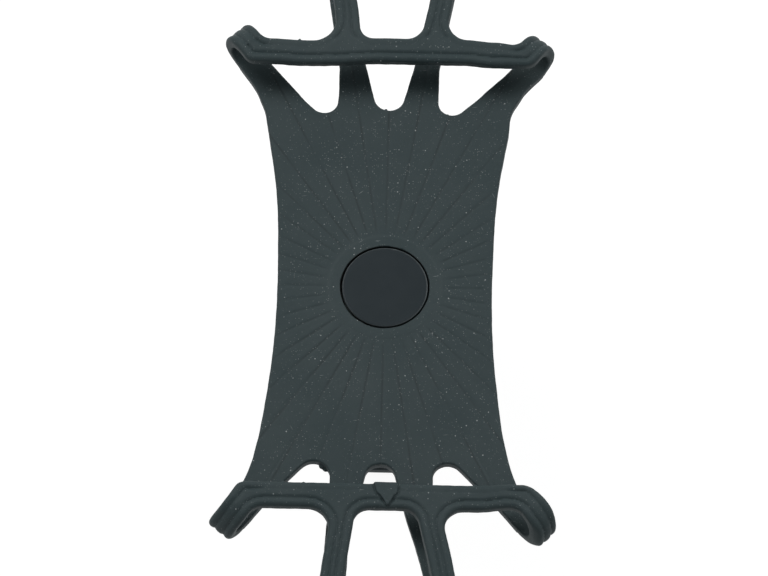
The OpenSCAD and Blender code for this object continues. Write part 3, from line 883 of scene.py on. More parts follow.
@dataclass
class SiliconeWeb(Moulded):
    """The moulded web: centre plate, straps, folds and cross bands in one piece."""

    node: str = "silicone_web"
    finish: Finish = Finish.WEB
    slot: str = "web_silicone"
    body: str = "turntable"
    name: str = "silicone_web_moulded"
    grid: float = 0.3
    coarser: float = 1.5
    budget: int = 186000
    plate_z: float = 36.0
    plate_back: float = 33.0
    strap_t: float = 2.6
    half_box: tuple[float, float] = (41.0, 82.0)
    around: float = 0.8
    thick_to: tuple[float, float] = (41.5, 39.5)
    back_grooves: tuple[float, float] = (50.0, 55.0)
    edge_r: float = 0.45
    back_r: float = 0.5
    bead_r: float = 1.0
    pocket: float = 6.6
    waist: float = 24.0
    side_r: float = 250.0
    sweep_r: float = 20.0
    band_y: float = 53.9
    band_w: float = 5.8
    corner_w: float = 6.2
    band_half: float = 28.7
    bend_r: float = 3.6
    corner_run: float = 0.6
    corner_angle: float = 48.8
    leg_x: float = 9.8
    leg_w: float = 5.2
    leg_angle: float = 9.0
    leg_fold_y: float = 74.2
    leg_end: float = 81.0
    corner_end: float = 7.0
    fold_side: float = 1.8
    fold_end: float = 7.5
    fold_groove: float = 0.75
    fillet_r: float = 3.6
    outer_fillet_r: float = 4.6
    inner_bend_r: float = 4.0
    outer_bend_r: float = 3.5
    slot_y: float = 42.0
    side_slot_r: float = 3.0
    mid_slot_r: float = 3.4
    mid_lean: float = 14.3
    groove_at: float = 1.95
    groove_depth: float = 0.42
    groove_soft: float = 0.95
    faint_share: float = 0.86
    faint_half: float = 0.7
    faint_y: tuple[float, float] = (3.6, 2.2)
    faint_x: tuple[float, float] = (29.0, 26.0)
    wave: float = 0.03
    fan_step: float = 9.0
    fan_depth: float = 0.09
    fan_soft: float = 0.36
    fan_rim: tuple[float, float] = (0.9, 2.4)
    fan_end: tuple[float, float] = (62.0, 54.0)
    ring_rise: float = 0.10
    ring_r: float = 12.6
    cap_r: float = 9.96
    cap_t: float = 1.4
    boss_r: float = 7.0
    boss_half: float = 6.0
    boss_gap: float = 0.02
    mark_rise: float = 0.28
    mark_inset: float = 0.15
    mark_edge: float = 0.15
    mark_root: float = 0.9
    mark_lean: tuple[float, float] = (0.6, 0.07)
    bed_depth: float = 0.3
    bed_at: float = 0.25
    bed_soft: float = 0.3
    bed_from: float = 0.3
    nub_blend: float = 0.25
    nubs: tuple[tuple[float, float, float, float], ...] = (
        (-12.6, -42.6, 34.4, 0.8), (-12.1, -43.4, 34.2, 0.55), (20.3, -51.05, 44.5, 0.3),
        (-0.7, 42.9, 35.2, 0.35), (13.5, 42.2, 35.0, 0.35), (-0.4, -42.5, 34.8, 0.35),
        (-22.0, -51.0, 44.4, 0.3), (-17.5, -51.0, 44.2, 0.25),
        (-20.5, 56.9, 44.4, 0.25))

    def __post_init__(self) -> None:
        """Works out the places of the folds and draws both layers."""
        turn = math.radians(self.corner_angle)
        self.c_dir = np.array([math.cos(turn), math.sin(turn)])
        self.c_side = np.array([math.sin(turn), -math.cos(turn)])
        self.c_axis = np.array([self.band_half + self.bend_r * math.sin(turn),
                                self.band_y + self.bend_r * (1 - math.cos(turn))]) \
            + self.corner_run * self.c_dir
        lean = math.radians(self.leg_angle)
        self.l_dir = np.array([math.sin(lean), math.cos(lean)])
        self.l_side = np.array([math.cos(lean), -math.sin(lean)])
        self.l_axis = np.array([self.leg_line(self.leg_fold_y), self.leg_fold_y])
        self.fold_z = self.plate_z + self.pocket / 2
        self.r_in = self.pocket / 2
        self.r_out = self.r_in + self.strap_t
        half_x, half_y = self.half_box
        self.low = (-half_x, -half_y, self.plate_back - self.around)
        self.high = (half_x, half_y, self.plate_z + self.pocket + self.strap_t + self.around)
        self.rear = Drawing(self.rear_outline(), (46.0, 84.0))
        self.front = Drawing(self.front_outline(), (46.0, 84.0))
        self.mark = Drawing([(0.0, 0.0), (0.0, 5.5), (0.35, 5.1), (1.35, 3.3), (2.2, 2.5),
                             (2.35, 1.9), (2.65, 0.0)][::-1], (6.0, 8.0))

    def leg_line(self, y: float) -> float:
        """X of a long strap's middle line at a distance y."""
        return self.leg_x + (y - 60.0) * math.tan(math.radians(self.leg_angle))

    def rear_outline(self) -> list[tuple[float, float]]:
        """A quarter of the plate with its slots and the roots of its straps.

        Returns:
            The outline's points, counter-clockwise.
        """
        h, g = self.corner_w / 2, self.leg_w / 2 / math.cos(math.radians(self.leg_angle))
        side = (self.waist + self.side_r, 0.0)
        q = self.c_axis + (h + self.sweep_r) * self.c_side
        d = q - np.array(side)
        b = float(d @ self.c_dir)
        u = -b - math.sqrt(b * b - float(d @ d) + (self.side_r - self.sweep_r) ** 2)
        c = q + u * self.c_dir
        join = math.degrees(math.atan2(c[1], c[0] - side[0]))
        far = self.c_axis + self.corner_end * self.c_dir
        sy = self.slot_y + self.side_slot_r
        sx = self.c_axis[0] - (h + self.side_slot_r
                               - self.c_side[1] * (self.c_axis[1] - sy)) / self.c_side[0]
        self.slot_centre = (sx, sy)
        leg_y = 60.0 + (sx - self.side_slot_r - self.leg_x - g) \
            / math.tan(math.radians(self.leg_angle))
        lean = math.radians(self.mid_lean)
        my = self.slot_y + 0.7 + self.mid_slot_r
        mouth = self.mid_slot_r / math.cos(lean)
        cross = next(y for y in np.arange(my, 80.0, 0.05)
                     if mouth + (y - my) * math.tan(lean) > self.leg_line(y) - g)
        points = [(self.waist, 0.0)]
        points += arc(side, self.side_r, 180, join, 24)[1:]
        points += arc(tuple(c), self.sweep_r, join, 90 + self.corner_angle, 24)
        points += [tuple(far + h * self.c_side), tuple(far - h * self.c_side)]
        points += arc((sx, sy), self.side_slot_r, self.corner_angle - 90, -180, 20)
        end_x = self.leg_line(self.leg_end)
        points += [(sx - self.side_slot_r, leg_y), (end_x + g, self.leg_end),
                   (end_x - g, self.leg_end), (self.leg_line(cross) - g, float(cross))]
        points += arc((0.0, my), self.mid_slot_r, -self.mid_lean, -90, 12)
        points[-1] = (0.0, points[-1][1])
        points.append((0.0, 0.0))
        return points

    def front_outline(self) -> list[tuple[float, float]]:
        """Half of one cross band with the straps that leave it.

        Returns:
            The outline's points, counter-clockwise.
        """
        h, g = self.band_w / 2, self.leg_w / 2 / math.cos(math.radians(self.leg_angle))
        bottom, top = self.band_y - h, self.band_y + h
        far = self.c_axis + self.corner_end * self.c_dir
        turn = math.radians(self.corner_angle)
        half = self.corner_w / 2
        on = self.c_axis + half * self.c_side
        x = on[0] - (on[1] - bottom) / math.tan(turn)
        c = (x - self.outer_bend_r * math.tan(turn / 2), bottom + self.outer_bend_r)
        points = [(0.0, bottom)]
        points += arc(c, self.outer_bend_r, -90, self.corner_angle - 90, 14)
        points += [tuple(far + half * self.c_side), tuple(far - half * self.c_side)]
        points += self.rounded(self.c_axis - half * self.c_side, self.corner_angle, top,
                               self.inner_bend_r)
        points += self.leg_fillet(top, g, True)
        end_x = self.leg_line(self.leg_end)
        points += [(end_x + g, self.leg_end), (end_x - g, self.leg_end)]
        points += self.leg_fillet(top, -g, False)
        points.append((0.0, top))
        return points

    def rounded(self, on: Array, angle: float, level: float,
                radius: float) -> list[tuple[float, float]]:
        """The curve between a slanted edge and a level one above the band.

        Args:
            on: a point of the slanted edge.
            angle: its direction in degrees.
            level: Y of the level edge.
            radius: radius of the curve.

        Returns:
            Its points, from the slanted edge to the level one.
        """
        turn = math.radians(angle)
        x = on[0] - (on[1] - level) / math.tan(turn)
        half = (math.pi - turn) / 2
        reach = radius / math.tan(half)
        centre = (x - reach, level + radius)
        return arc(centre, radius, angle - 90, -90, 12)

    def leg_fillet(self, top: float, offset: float, outer: bool) -> list[tuple[float, float]]:
        """The fillet between the band and one edge of a long strap.

        Args:
            top: Y of the band's edge.
            offset: X of the strap's edge from its middle line.
            outer: whether it is the edge away from the middle.

        Returns:
            Its points in the outline's order.
        """
        lean = math.radians(self.leg_angle)
        x = self.leg_line(top) + offset
        slope = math.pi / 2 - lean
        if outer:
            half = slope / 2
            r = self.outer_fillet_r
            return arc((x + r / math.tan(half), top + r), r, -90, -180 - self.leg_angle, 12)
        half = (math.pi - slope) / 2
        centre = (x - self.fillet_r / math.tan(half), top + self.fillet_r)
        return arc(centre, self.fillet_r, -self.leg_angle, -90, 12)

    def groove(self, inward: Array) -> Array:
        """Depth of a strap's bead, groove and ridge profile at a distance from its edge."""
        near = np.clip(1.0 - np.abs(inward - self.groove_at) / self.groove_soft, 0.0, 1.0)
        return self.groove_depth * near ** 2.0

    def relief(self, x: Array, y: Array) -> Array:
        """Share of the groove's depth on a cross band, which is faint along its upper edge.

        Args:
            x: distance from the middle along X.
            y: positions along Y.

        Returns:
            Numbers up to 1.
        """
        ay = np.abs(y)
        above = smooth(y - np.sign(y) * self.band_y, -self.faint_half, self.faint_half)
        within = smooth(ay, *(self.band_y + rise for rise in self.faint_y))
        within = within * smooth(x, *self.faint_x)
        return 1.0 - self.faint_share * above * within

    def unevenness(self, x: Array, y: Array, z: Array) -> Array:
        """Slight waviness that soft mouldings have.

        Args:
            x: positions along X.
            y: positions along Y.
            z: positions along Z.

        Returns:
            Heights in millimetres.
        """
        slow = np.sin(0.9 * x + 0.4 * y + 1.0) * np.sin(0.7 * y - 0.5 * z + 2.0)
        quick = np.sin(2.3 * x - 1.1 * y + 0.3) * np.sin(1.9 * y + 1.7 * z + 1.2)
        return self.wave * (slow + 0.6 * quick)

    def fan(self, x: Array, y: Array, inward: Array) -> Array:
        """Depth of the plate's radial grooves.

        Args:
            x: positions along X.
            y: positions along Y.
            inward: distance inside the plate's edge.

        Returns:
            Depth of the grooves, less the height of the ring round the cap.
        """
        r = np.hypot(x, y) + 1e-6
        turn = np.degrees(np.arctan2(x, y))
        away = np.abs((turn + self.fan_step / 2) % self.fan_step - self.fan_step / 2)
        off = np.radians(away) * r
        fade = smooth(r, self.ring_r, self.ring_r + 2.5) * smooth(inward, *self.fan_rim)
        fade = fade * smooth(y, *self.fan_end)
        ring = self.ring_rise * smooth(r, self.ring_r + 0.3, self.ring_r - 0.5)
        return self.fan_depth * fade * np.exp(-(off / self.fan_soft) ** 2) - ring

    def unbent(self, x: Array, y: Array, z: Array) -> tuple[Array, Array, Array]:
        """Takes the slight sag of the real, soft web out of a position.

        Args:
            x: positions along X.
            y: positions along Y.
            z: positions along Z.

        Returns:
            The positions as drawn.
        """
        shares = [(nudge.shift, nudge.share(x, y, z)) for nudge in NUDGES]
        return (x - sum(shift[0] * share for shift, share in shares),
                y - sum(shift[1] * share for shift, share in shares), z)

    def field(self, x: Array, y: Array, z: Array) -> Array:
        """Distance from the web's surface.

        Args:
            x: positions along X.
            y: positions along Y.
            z: positions along Z.

        Returns:
            Signed distances, negative inside.
        """
        x, y, z = self.unbent(x, y, z)
        ax, ay = np.abs(x), np.abs(y)
        edge = self.rear.distance(ax, ay)
        thin = self.plate_z - self.strap_t - z
        back = thin - (self.plate_z - self.strap_t - self.plate_back) * smooth(ay, *self.thick_to)
        back = back + self.groove(-edge) * smooth(ay, *self.back_grooves)
        face = z - self.plate_z + self.fan(ax, ay, -edge)
        rear = slab(edge, np.maximum(face, back), np.where(face > back, self.edge_r, self.back_r))
        recess = np.maximum(np.hypot(x, y) - self.cap_r, self.plate_z - self.cap_t - z)
        boss = np.maximum(np.hypot(x, y) - self.boss_r - self.boss_gap,
                          ax - self.boss_half - self.boss_gap)
        rear = np.maximum(rear, -np.minimum(recess, boss))
        along = -y - (self.band_y - self.band_w / 2 - self.mark_inset)
        beside = np.abs(x - self.mark_lean[0] + self.mark_lean[1] * along)
        mark = np.maximum(self.mark.distance(beside, np.maximum(along, 0.0)), -along)
        edge = self.front.distance(ax, ay)
        low = self.plate_z + self.pocket - z
        high = z - self.plate_z - self.pocket - self.strap_t
        high = high + self.groove(-edge) * self.relief(ax, y)
        bed = np.exp(-((mark - self.bed_at) / self.bed_soft) ** 2) * (along > self.bed_from)
        high = high + self.bed_depth * bed
        front = slab(edge, np.maximum(high, low), np.where(high > low, self.bead_r, self.back_r))
        above = np.maximum(z - self.plate_z - self.pocket - self.strap_t - self.mark_rise,
                           self.plate_z + self.pocket + self.mark_root - z)
        mark = slab(mark, above, self.mark_edge)
        whole = np.minimum(np.minimum(rear, front), mark)
        for axis, way, side, width in ((self.c_axis, self.c_dir, self.c_side, self.corner_w),
                                       (self.l_axis, self.l_dir, self.l_side, self.leg_w)):
            u = (ax - axis[0]) * way[0] + (ay - axis[1]) * way[1]
            v = np.abs((ax - axis[0]) * side[0] + (ay - axis[1]) * side[1])
            rho = np.hypot(u, z - self.fold_z)
            out = rho - self.r_out + self.fold_groove * self.groove(width / 2 - v)
            into = self.r_in - rho
            fold = slab(v - width / 2, np.maximum(out, into),
                        np.where(out > into, self.bead_r, self.back_r))
            whole = np.where((u >= 0) & (v < width / 2 + self.fold_side) & (u < self.fold_end),
                             fold, whole)
        for nx, ny, nz, r in self.nubs:
            away = np.sqrt((x - nx) ** 2 + (y - ny) ** 2 + (z - nz) ** 2) - r
            mix = np.clip(0.5 + 0.5 * (whole - away) / self.nub_blend, 0.0, 1.0)
            whole = whole * (1 - mix) + away * mix - self.nub_blend * mix * (1 - mix)
        return whole + self.unevenness(x, y, z)


# The cap, the bar strap and the rubber pieces


@dataclass
class HubCap(Moulded):
    """The smooth round cap with the flatted boss that passes through the web."""

    node: str = "hub_cap"
    finish: Finish = Finish.CAP
    slot: str = "cap_plastic"
    body: str = "turntable"
    name: str = "hub_cap_turned"
    low: Corner = (-10.2, -10.2, 31.5)
    high: Corner = (10.2, 10.2, 36.5)
    grid: float = 0.2
    face_z: float = 36.0
    thick: float = 1.4
    radius: float = 9.62
    middle: tuple[float, float] = (0.08, 0.04)
    rim_r: float = 0.26
    boss_r: float = 7.0
    boss_half: float = 6.0
    boss_z: float = 32.0
    boss_drop: float = 0.5
    boss_edge: float = 0.2
    bore_r: float = 2.0
    bore_z: float = 35.0

    def field(self, x: Array, y: Array, z: Array) -> Array:
        """Signed distances from the skin, negative inside.

        Args:
            x: positions along X.
            y: positions along Y.
            z: positions along Z.

        Returns:
            One distance for each position.
        """
        far = np.hypot(x, y)
        away = np.hypot(x - self.middle[0], y - self.middle[1]) - self.radius
        disc = slab(away, np.maximum(z - self.face_z, self.face_z - self.thick - z), self.rim_r)
        boss = slab(np.maximum(far - self.boss_r, np.abs(x) - self.boss_half),
                    np.maximum(z - self.face_z + self.boss_drop, self.boss_z - z), self.boss_edge)
        bore = np.maximum(far - self.bore_r, z - self.bore_z)
        return np.maximum(np.minimum(disc, boss), -bore)


@dataclass
class BarStrap(Moulded):
    """The strap round the bar: eye on its pin, loop, and pull tab with slots and ribs."""

    node: str = "handlebar_strap"
    finish: Finish = Finish.STRAP
    slot: str = "strap_silicone"
    body: str = "base"
    name: str = "handlebar_strap_moulded"
    low: Corner = (-13.6, -32.4, -18.9)
    high: Corner = (13.6, 24.2, 6.8)
    grid: float = 0.35
    coarser: float = 1.5
    bar_r: float = 15.9
    thick: float = 2.3
    width: float = 26.0
    eye: tuple[float, float] = (19.65, 2.2)
    eye_in_r: float = 1.55
    bend_y: float = 19.75
    tab_reach: float = 31.7
    tab_corner_r: float = 3.0
    slot_half: tuple[float, float] = (5.3, 1.75)
    slot_r: float = 0.9
    hook_slot_y: float = -21.8
    spare_angles: tuple[float, ...] = (28.0, 54.0)
    rib_places: tuple[float, ...] = (-30.5, -28.9, -27.3)
    rib_r: float = 0.45
    rib_half: float = 9.0
    edge_r: float = 0.5
    blend_r: float = 0.35
    groove_at: float = 2.1
    groove_depth: float = 0.35
    groove_soft: float = 0.9

    def groove(self, x: Array) -> Array:
        """Depth of the two grooves that run along the strap's edges."""
        off = np.abs(self.width / 2 - np.abs(x) - self.groove_at)
        return self.groove_depth * np.clip(1.0 - off / self.groove_soft, 0.0, 1.0) ** 2

    def opening(self, x: Array, along: Array) -> Array:
        """Distance outside a rounded slot that lies across the strap."""
        return slab(np.abs(x) - self.slot_half[0], np.abs(along) - self.slot_half[1], self.slot_r)

    def field(self, x: Array, y: Array, z: Array) -> Array:
        """Signed distances from the skin, negative inside.

        Args:
            x: positions along X.
            y: positions along Y.
            z: positions along Z.

        Returns:
            One distance for each position.
        """
        ay, far = np.abs(y), np.hypot(y, z)
        outer, groove = self.bar_r + self.thick, self.groove(x)
        outside = groove * smooth(z, 2.0, 0.0)
        loop = np.maximum(np.maximum(far - outer + outside, self.bar_r - far), z - 0.6)
        riser = np.maximum(np.maximum(ay - outer + outside, self.bar_r - ay),
                           np.maximum(-0.4 - z, z - self.eye[1] - 0.4))
        eye_far = np.hypot(y - self.eye[0], z - self.eye[1])
        bend_far = np.hypot(y + self.bend_y, z - self.eye[1])
        upper = groove * smooth(z, 3.0, 4.6)
        bend = np.maximum(np.maximum(bend_far - self.eye_in_r - self.thick + upper,
                                     self.eye_in_r - bend_far),
                          np.maximum(-y - self.bend_y - 0.4, self.eye[1] - 0.3 - z))
        top = self.eye[1] + self.eye_in_r + self.thick
        tab = np.maximum(np.maximum(z - top + upper, top - self.thick - z),
                         np.maximum(y + self.bend_y - 0.3, -self.tab_reach - 4.0 - y))
        whole = np.minimum(np.minimum(loop, riser), np.minimum(bend, tab))
        eye = eye_far - self.eye_in_r - self.thick
        mix = np.clip(0.5 + 0.5 * (whole - eye) / self.blend_r, 0.0, 1.0)
        whole = whole * (1 - mix) + eye * mix - self.blend_r * mix * (1 - mix)
        whole = np.maximum(whole, self.eye_in_r - eye_far)
        across = slab(np.abs(x) - self.width / 2, -self.tab_reach - y, self.tab_corner_r)
        whole = slab(across, whole, self.edge_r)
        whole = self.pierced(x, y, z, whole)
        for place in self.rib_places:
            rib = np.maximum(np.hypot(y - place, z - top + self.thick) - self.rib_r,
                             np.abs(x) - self.rib_half)
            whole = np.minimum(whole, rib)
        return whole

    def pierced(self, x: Array, y: Array, z: Array, whole: Array) -> Array:
        """Cuts the hooking slots, with rounded mouths.

        Args:
            x: positions along X.
            y: positions along Y.
            z: positions along Z.
            whole: signed distances from the strap without slots.

        Returns:
            Signed distances from the strap with its slots.
        """
        hook = np.where(z > 2.6, -self.opening(x, y - self.hook_slot_y), -9.0)
        whole = slab(hook, whole, self.blend_r)
        for angle in self.spare_angles:
            c, s = math.cos(math.radians(angle)), math.sin(math.radians(angle))
            outward, along = -(y * c + z * s), z * c - y * s
            spare = np.where(outward > 14.0, -self.opening(x, along), -9.0)
            whole = slab(spare, whole, self.blend_r)
        return whole


@dataclass
class SaddlePad(Moulded):
    """The rubber pad on the bar, with ribs that grip it."""

    node: str = "saddle_pad"
    finish: Finish = Finish.RUBBER
    slot: str = "pad_rubber"
    body: str = "base"
    name: str = "saddle_pad_moulded"
    low: Corner = (-13.5, -15.6, 7.4)
    high: Corner = (13.5, 15.6, 18.1)
    grid: float = 0.27
    edge_r: float = 0.3
    bar_r: float = 15.9
    thick: float = 1.6
    width: float = 26.0
    half_angle: float = 59.0
    rib_pitch: float = 7.4
    rib_depth: float = 0.4

    def field(self, x: Array, y: Array, z: Array) -> Array:
        """Signed distances from the skin, negative inside.

        Args:
            x: positions along X.
            y: positions along Y.
            z: positions along Z.

        Returns:
            One distance for each position.
        """
        far = np.hypot(y, z)
        turn = np.degrees(np.arctan2(y, z))
        wave = np.abs((turn / self.rib_pitch) % 1.0 - 0.5) * 2.0
        ribs = self.rib_depth * smooth(wave, 0.35, 0.75) * smooth(np.abs(x), 12.4, 11.6)
        ribs = ribs * smooth(np.abs(turn), self.half_angle - 1.5, self.half_angle - 4.0)
        beyond = far * np.sin(np.radians(np.abs(turn) - self.half_angle))
        across = np.maximum(np.abs(x) - self.width / 2, beyond)
        above = np.maximum(far - self.bar_r - self.thick, self.bar_r - far + ribs)
        return slab(across, above, self.edge_r)


@dataclass
class FrictionRing(Moulded):
    """The soft ring that brakes the turning plate."""

    node: str = "friction_ring"
    finish: Finish = Finish.RUBBER
    slot: str = "pad_rubber"
    body: str = "turntable"
    name: str = "friction_ring_moulded"
    low: Corner = (-17.6, -17.6, 27.8)
    high: Corner = (17.6, 17.6, 30.2)
    grid: float = 0.27
    edge_r: float = 0.3
    radius: float = 15.75
    half_width: float = 1.25
    levels: tuple[float, float] = (28.35, 29.6)

    def field(self, x: Array, y: Array, z: Array) -> Array:
        """Signed distances from the skin, negative inside.

        Args:
            x: positions along X.
            y: positions along Y.
            z: positions along Z.

        Returns:
            One distance for each position.
        """
        across = np.abs(np.hypot(x, y) - self.radius) - self.half_width
        return slab(across, np.maximum(z - self.levels[1], self.levels[0] - z), self.edge_r)


@dataclass
class HardPiece(Piece):
    """A hard piece with its edges broken, as moulds and tools leave them."""

    node: str
    finish: Finish
    slot: str
    body: str
    edge: float = 0.25
    weld: float = 0.002
    flat: float = 0.5
    sharp: float = 38.0

    def build(self) -> bpy.types.Object:
        """Joins up the construction's own mesh and rounds its edges.

        Returns:
            The new object.
        """
        source = bmesh.new()
        source.from_mesh(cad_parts[self.node].data)
        bmesh.ops.remove_doubles(source, verts=source.verts, dist=self.weld * MM)
        bmesh.ops.dissolve_limit(source, angle_limit=math.radians(self.flat), verts=source.verts,
                                 edges=source.edges, delimit=set())
        mesh = bpy.data.meshes.new(self.node + "_finished")
        source.to_mesh(mesh)
        source.free()
        mesh.shade_smooth()
        obj = bpy.data.objects.new(self.node + "_finished", mesh)
        bpy.context.scene.collection.objects.link(obj)
        bevel = obj.modifiers.new("broken edges", "BEVEL")
        bevel.width, bevel.segments = self.edge * MM, 2
        bevel.limit_method, bevel.angle_limit = "ANGLE", math.radians(self.sharp)
        bevel.use_clamp_overlap = True
        even = obj.modifiers.new("even shading", "WEIGHTED_NORMAL")
        even.weight = 90
        applied(obj)
        return obj


@dataclass
class ReturnSprings(Piece):
    """The two coil springs behind a release button, which shorten as it is pressed."""

    side: str
    sign: int
    wire_r: float = 0.25
    coil_r: float = 1.25
    coils: float = 4.0
    sides: int = 10
    steps: int = 24
    travel: float = 2.2
    end_gap: float = 0.02
    finish: Finish = Finish.STEEL
    slot: str = "steel"
    body: str = "base"

    def __post_init__(self) -> None:
        """Finds where the construction has the springs."""
        self.node = self.side + "_springs"
        low, high = (np.array(corner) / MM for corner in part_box(self.node))
        self.start, self.end = (low[0], high[0]) if self.sign > 0 else (high[0], low[0])
        self.reach = high[1] - self.coil_r - self.wire_r
        self.level = (low[2] + high[2]) / 2

    def coil(self, y: float) -> tuple[Array, list[tuple[int, ...]]]:
        """One coil along X.

        Args:
            y: Y of its middle line.

        Returns:
            Vertices in millimetres and faces.
        """
        rings = round(self.coils * self.steps)
        turn = 2 * math.pi * np.arange(rings + 1) / self.steps
        way = 2 * math.pi * np.arange(self.sides) / self.sides
        run = abs(self.end - self.start) - 2 * self.wire_r
        middle = self.start + self.sign * (self.wire_r + np.linspace(0.0, 1.0, rings + 1) * run)
        x = middle[:, None] + self.wire_r * np.sin(way)[None, :]
        far = np.broadcast_to(self.coil_r + self.wire_r * np.cos(way), x.shape)
        verts = np.stack([x, y + far * np.cos(turn)[:, None],
                          self.level + far * np.sin(turn)[:, None]], axis=-1)
        n = self.sides
        faces = [(i * n + k, i * n + (k + 1) % n, (i + 1) * n + (k + 1) % n, (i + 1) * n + k)
                 for i in range(rings) for k in range(n)]
        faces += [tuple(range(n))[::-1], tuple(rings * n + k for k in range(n))]
        return verts.reshape(-1, 3), faces

    def build(self) -> bpy.types.Object:
        """Winds both coils.

        Returns:
            The new object.
        """
        first, faces = self.coil(-self.reach)
        second, _ = self.coil(self.reach)
        faces += [tuple(v + len(first) for v in face) for face in faces]
        obj = mesh_object(self.node + "_wound", np.concatenate([first, second]), faces)
        mesh = bmesh.new()
        mesh.from_mesh(obj.data)
        bmesh.ops.recalc_face_normals(mesh, faces=mesh.faces)
        mesh.to_mesh(obj.data)
        mesh.free()
        return obj

    def dress(self, obj: bpy.types.Object) -> None:
        """Finishes the springs, puts them in the frame and gives them a mesh of their own.

        Args:
            obj: their object.
        """
        super().dress(obj)
        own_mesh(obj)


# The studio


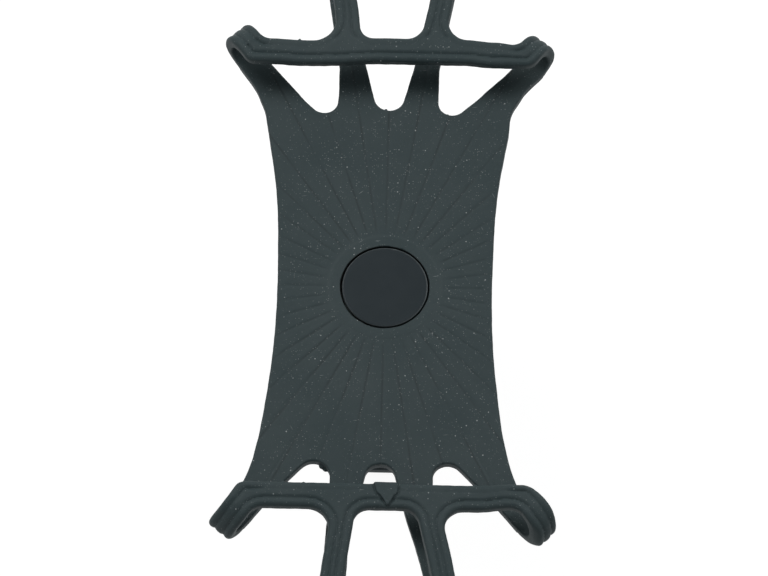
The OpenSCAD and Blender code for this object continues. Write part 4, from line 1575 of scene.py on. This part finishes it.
@dataclass
class Studio:
    """White floor, soft lamps and the camera."""

    floor_z: float = -24.0
    distance: float = 2.0
    elevation: float = 66.4
    azimuth: float = 1.3
    pixels_per_mm: float = 4.475
    centre_px: tuple[float, float] = (384.7, 287.2)
    size_px: tuple[int, int] = (768, 576)
    target: Vector = field(default_factory=lambda: Vector((0.0, 0.0, 0.036)))
    lens_back: float = 36.0
    paper: Colour = (0.2, 0.2, 0.2)
    paper_glow: float = 0.915
    white: Colour = (1.0, 1.0, 1.0)
    daylight: Colour = (0.95, 0.98, 1.0)
    daylight_power: float = 0.26
    whiteness: tuple[float, float, float, float] = (0.35, 0.85, 1.0, 0.15)
    floor_half: float = 6.0
    floor_parts: int = 12
    lamp_side: float = 0.6
    lamps: tuple[tuple[str, Corner, float], ...] = (
        ("left_box", (-0.6, 0.6, 1.1), 7.7), ("right_box", (0.7, 0.55, 1.1), 6.3))

    def camera(self) -> None:
        """Makes the camera at the photograph's viewing angle."""
        data = bpy.data.cameras.new("camera")
        width = self.size_px[0] / self.pixels_per_mm * MM
        data.sensor_width = self.lens_back
        data.lens = self.lens_back * self.distance / width
        data.clip_end = 20.0
        cam = bpy.data.objects.new("camera", data)
        tilt = math.radians(90.0 - self.elevation)
        turn = Matrix.Rotation(math.radians(self.azimuth), 4, "Z") @ Matrix.Rotation(tilt, 4, "X")
        dx = (self.size_px[0] / 2 - self.centre_px[0]) / self.pixels_per_mm * MM
        dy = (self.centre_px[1] - self.size_px[1] / 2) / self.pixels_per_mm * MM
        offset = turn @ Vector((dx, dy, self.distance))
        cam.matrix_world = Matrix.Translation(self.target + offset) @ turn
        bpy.context.scene.collection.objects.link(cam)
        bpy.context.scene.camera = cam

    def lamp(self, name: str, place: Corner, power: float) -> None:
        """Hangs a square soft lamp that looks at the object.

        Args:
            name: its name.
            place: where it hangs, in metres.
            power: its power in watts.
        """
        data = bpy.data.lights.new(name, "AREA")
        data.shape = "SQUARE"
        data.size = self.lamp_side
        data.energy = power
        obj = bpy.data.objects.new(name, data)
        obj.location = place
        obj.rotation_euler = (self.target - Vector(place)).to_track_quat("-Z", "Y").to_euler()
        bpy.context.scene.collection.objects.link(obj)

    def backdrop_material(self) -> bpy.types.Material:
        """Makes a pale surface that the camera, gloss and glass see as white paper.

        Returns:
            The finished material.
        """
        made, s = new_material("White paper")
        seen = s.seen("Is Camera Ray", "Is Glossy Ray", "Is Transmission Ray")
        paper = s.node("BsdfDiffuse", in_Color=opaque(self.paper))
        glow = s.node("Emission", in_Color=opaque(self.white),
                      in_Strength=s.times(seen, self.paper_glow))
        both = s.node("AddShader", in_0=paper.outputs[0], in_1=glow.outputs[0])
        clear = s.node("BsdfTransparent")
        pick = s.node("MixShader", in_0=s.node("NewGeometry").outputs["Backfacing"],
                      in_1=both.outputs[0], in_2=clear.outputs[0])
        s.output(pick)
        return made

    def floor(self) -> None:
        """Lays the floor, which stands for the paper under the object."""
        n = self.floor_parts
        line = np.linspace(-self.floor_half, self.floor_half, n + 1)
        verts = [(x / MM, y / MM, self.floor_z) for x in line for y in line]
        faces = [(i * (n + 1) + j, (i + 1) * (n + 1) + j, (i + 1) * (n + 1) + j + 1,
                  i * (n + 1) + j + 1) for i in range(n) for j in range(n)]
        obj = mesh_object("floor", np.array(verts), faces)
        obj.data.materials.append(self.backdrop_material())

    def world(self) -> None:
        """Fills the room with soft light and shows it as white."""
        world = bpy.data.worlds.new("room")
        world.use_nodes = True
        bpy.context.scene.world = world
        s = Shader(world.node_tree)
        seen = s.seen("Is Camera Ray", "Is Glossy Ray", "Is Transmission Ray")
        bright = s.seen("Is Camera Ray", "Is Transmission Ray")
        way = s.node("SeparateXYZ", in_Vector=s.node("TexCoord").outputs["Generated"])
        height = s.ramp(way.outputs[2], *self.whiteness)
        light = s.node("Background", in_Color=opaque(self.daylight), in_Strength=self.daylight_power)
        white = s.node("Background", in_Color=opaque(self.white),
                       in_Strength=s.maths("MAXIMUM", height, bright))
        pick = s.node("MixShader", in_0=seen, in_1=light.outputs[0], in_2=white.outputs[0])
        s.output(pick, "OutputWorld")

    def build(self) -> None:
        """Sets up the whole studio."""
        bpy.context.scene.view_settings.view_transform = "Standard"
        self.camera()
        self.floor()
        self.world()
        for name, place, power in self.lamps:
            self.lamp(name, place, power)


HARD_PIECES = (
    HardPiece("base_housing", Finish.BASE, "base_plastic", "base", 0.35),
    HardPiece("base_cover", Finish.BASE, "base_plastic", "base", 0.3),
    HardPiece("dock_plate", Finish.BASE, "base_plastic", "turntable", 0.25),
    HardPiece("left_button", Finish.BUTTON, "button_plastic", "left_release", 0.2),
    HardPiece("right_button", Finish.BUTTON, "button_plastic", "right_release", 0.2),
    HardPiece("strap_pin", Finish.STEEL, "steel", "base", 0.15),
)
NODE_FINISHES = {
    "spindle": Finish.STEEL, "hub_screw": Finish.STEEL, "cover_screws": Finish.STEEL,
    "left_latch": Finish.STEEL, "right_latch": Finish.STEEL, "pin_clip": Finish.STEEL,
    "spindle_bush": Finish.BRONZE, "thrust_washer": Finish.WASHER,
}


def main() -> None:
    """Builds the studio and every piece in order."""
    logging.basicConfig(level=logging.INFO, format="%(message)s")
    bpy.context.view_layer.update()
    Effects.build()
    Studio().build()
    for name, finish in NODE_FINISHES.items():
        dress(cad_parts[name], finish)
    for piece in (SiliconeWeb(), HubCap(), BarStrap(), SaddlePad(), FrictionRing(), *HARD_PIECES,
                  ReturnSprings("left", -1), ReturnSprings("right", 1)):
        made = piece.build()
        piece.dress(made)
        log.info("%s: %d faces, for %s", made.name, len(made.data.polygons), piece.node)


if __name__ == "__main__":
    main()
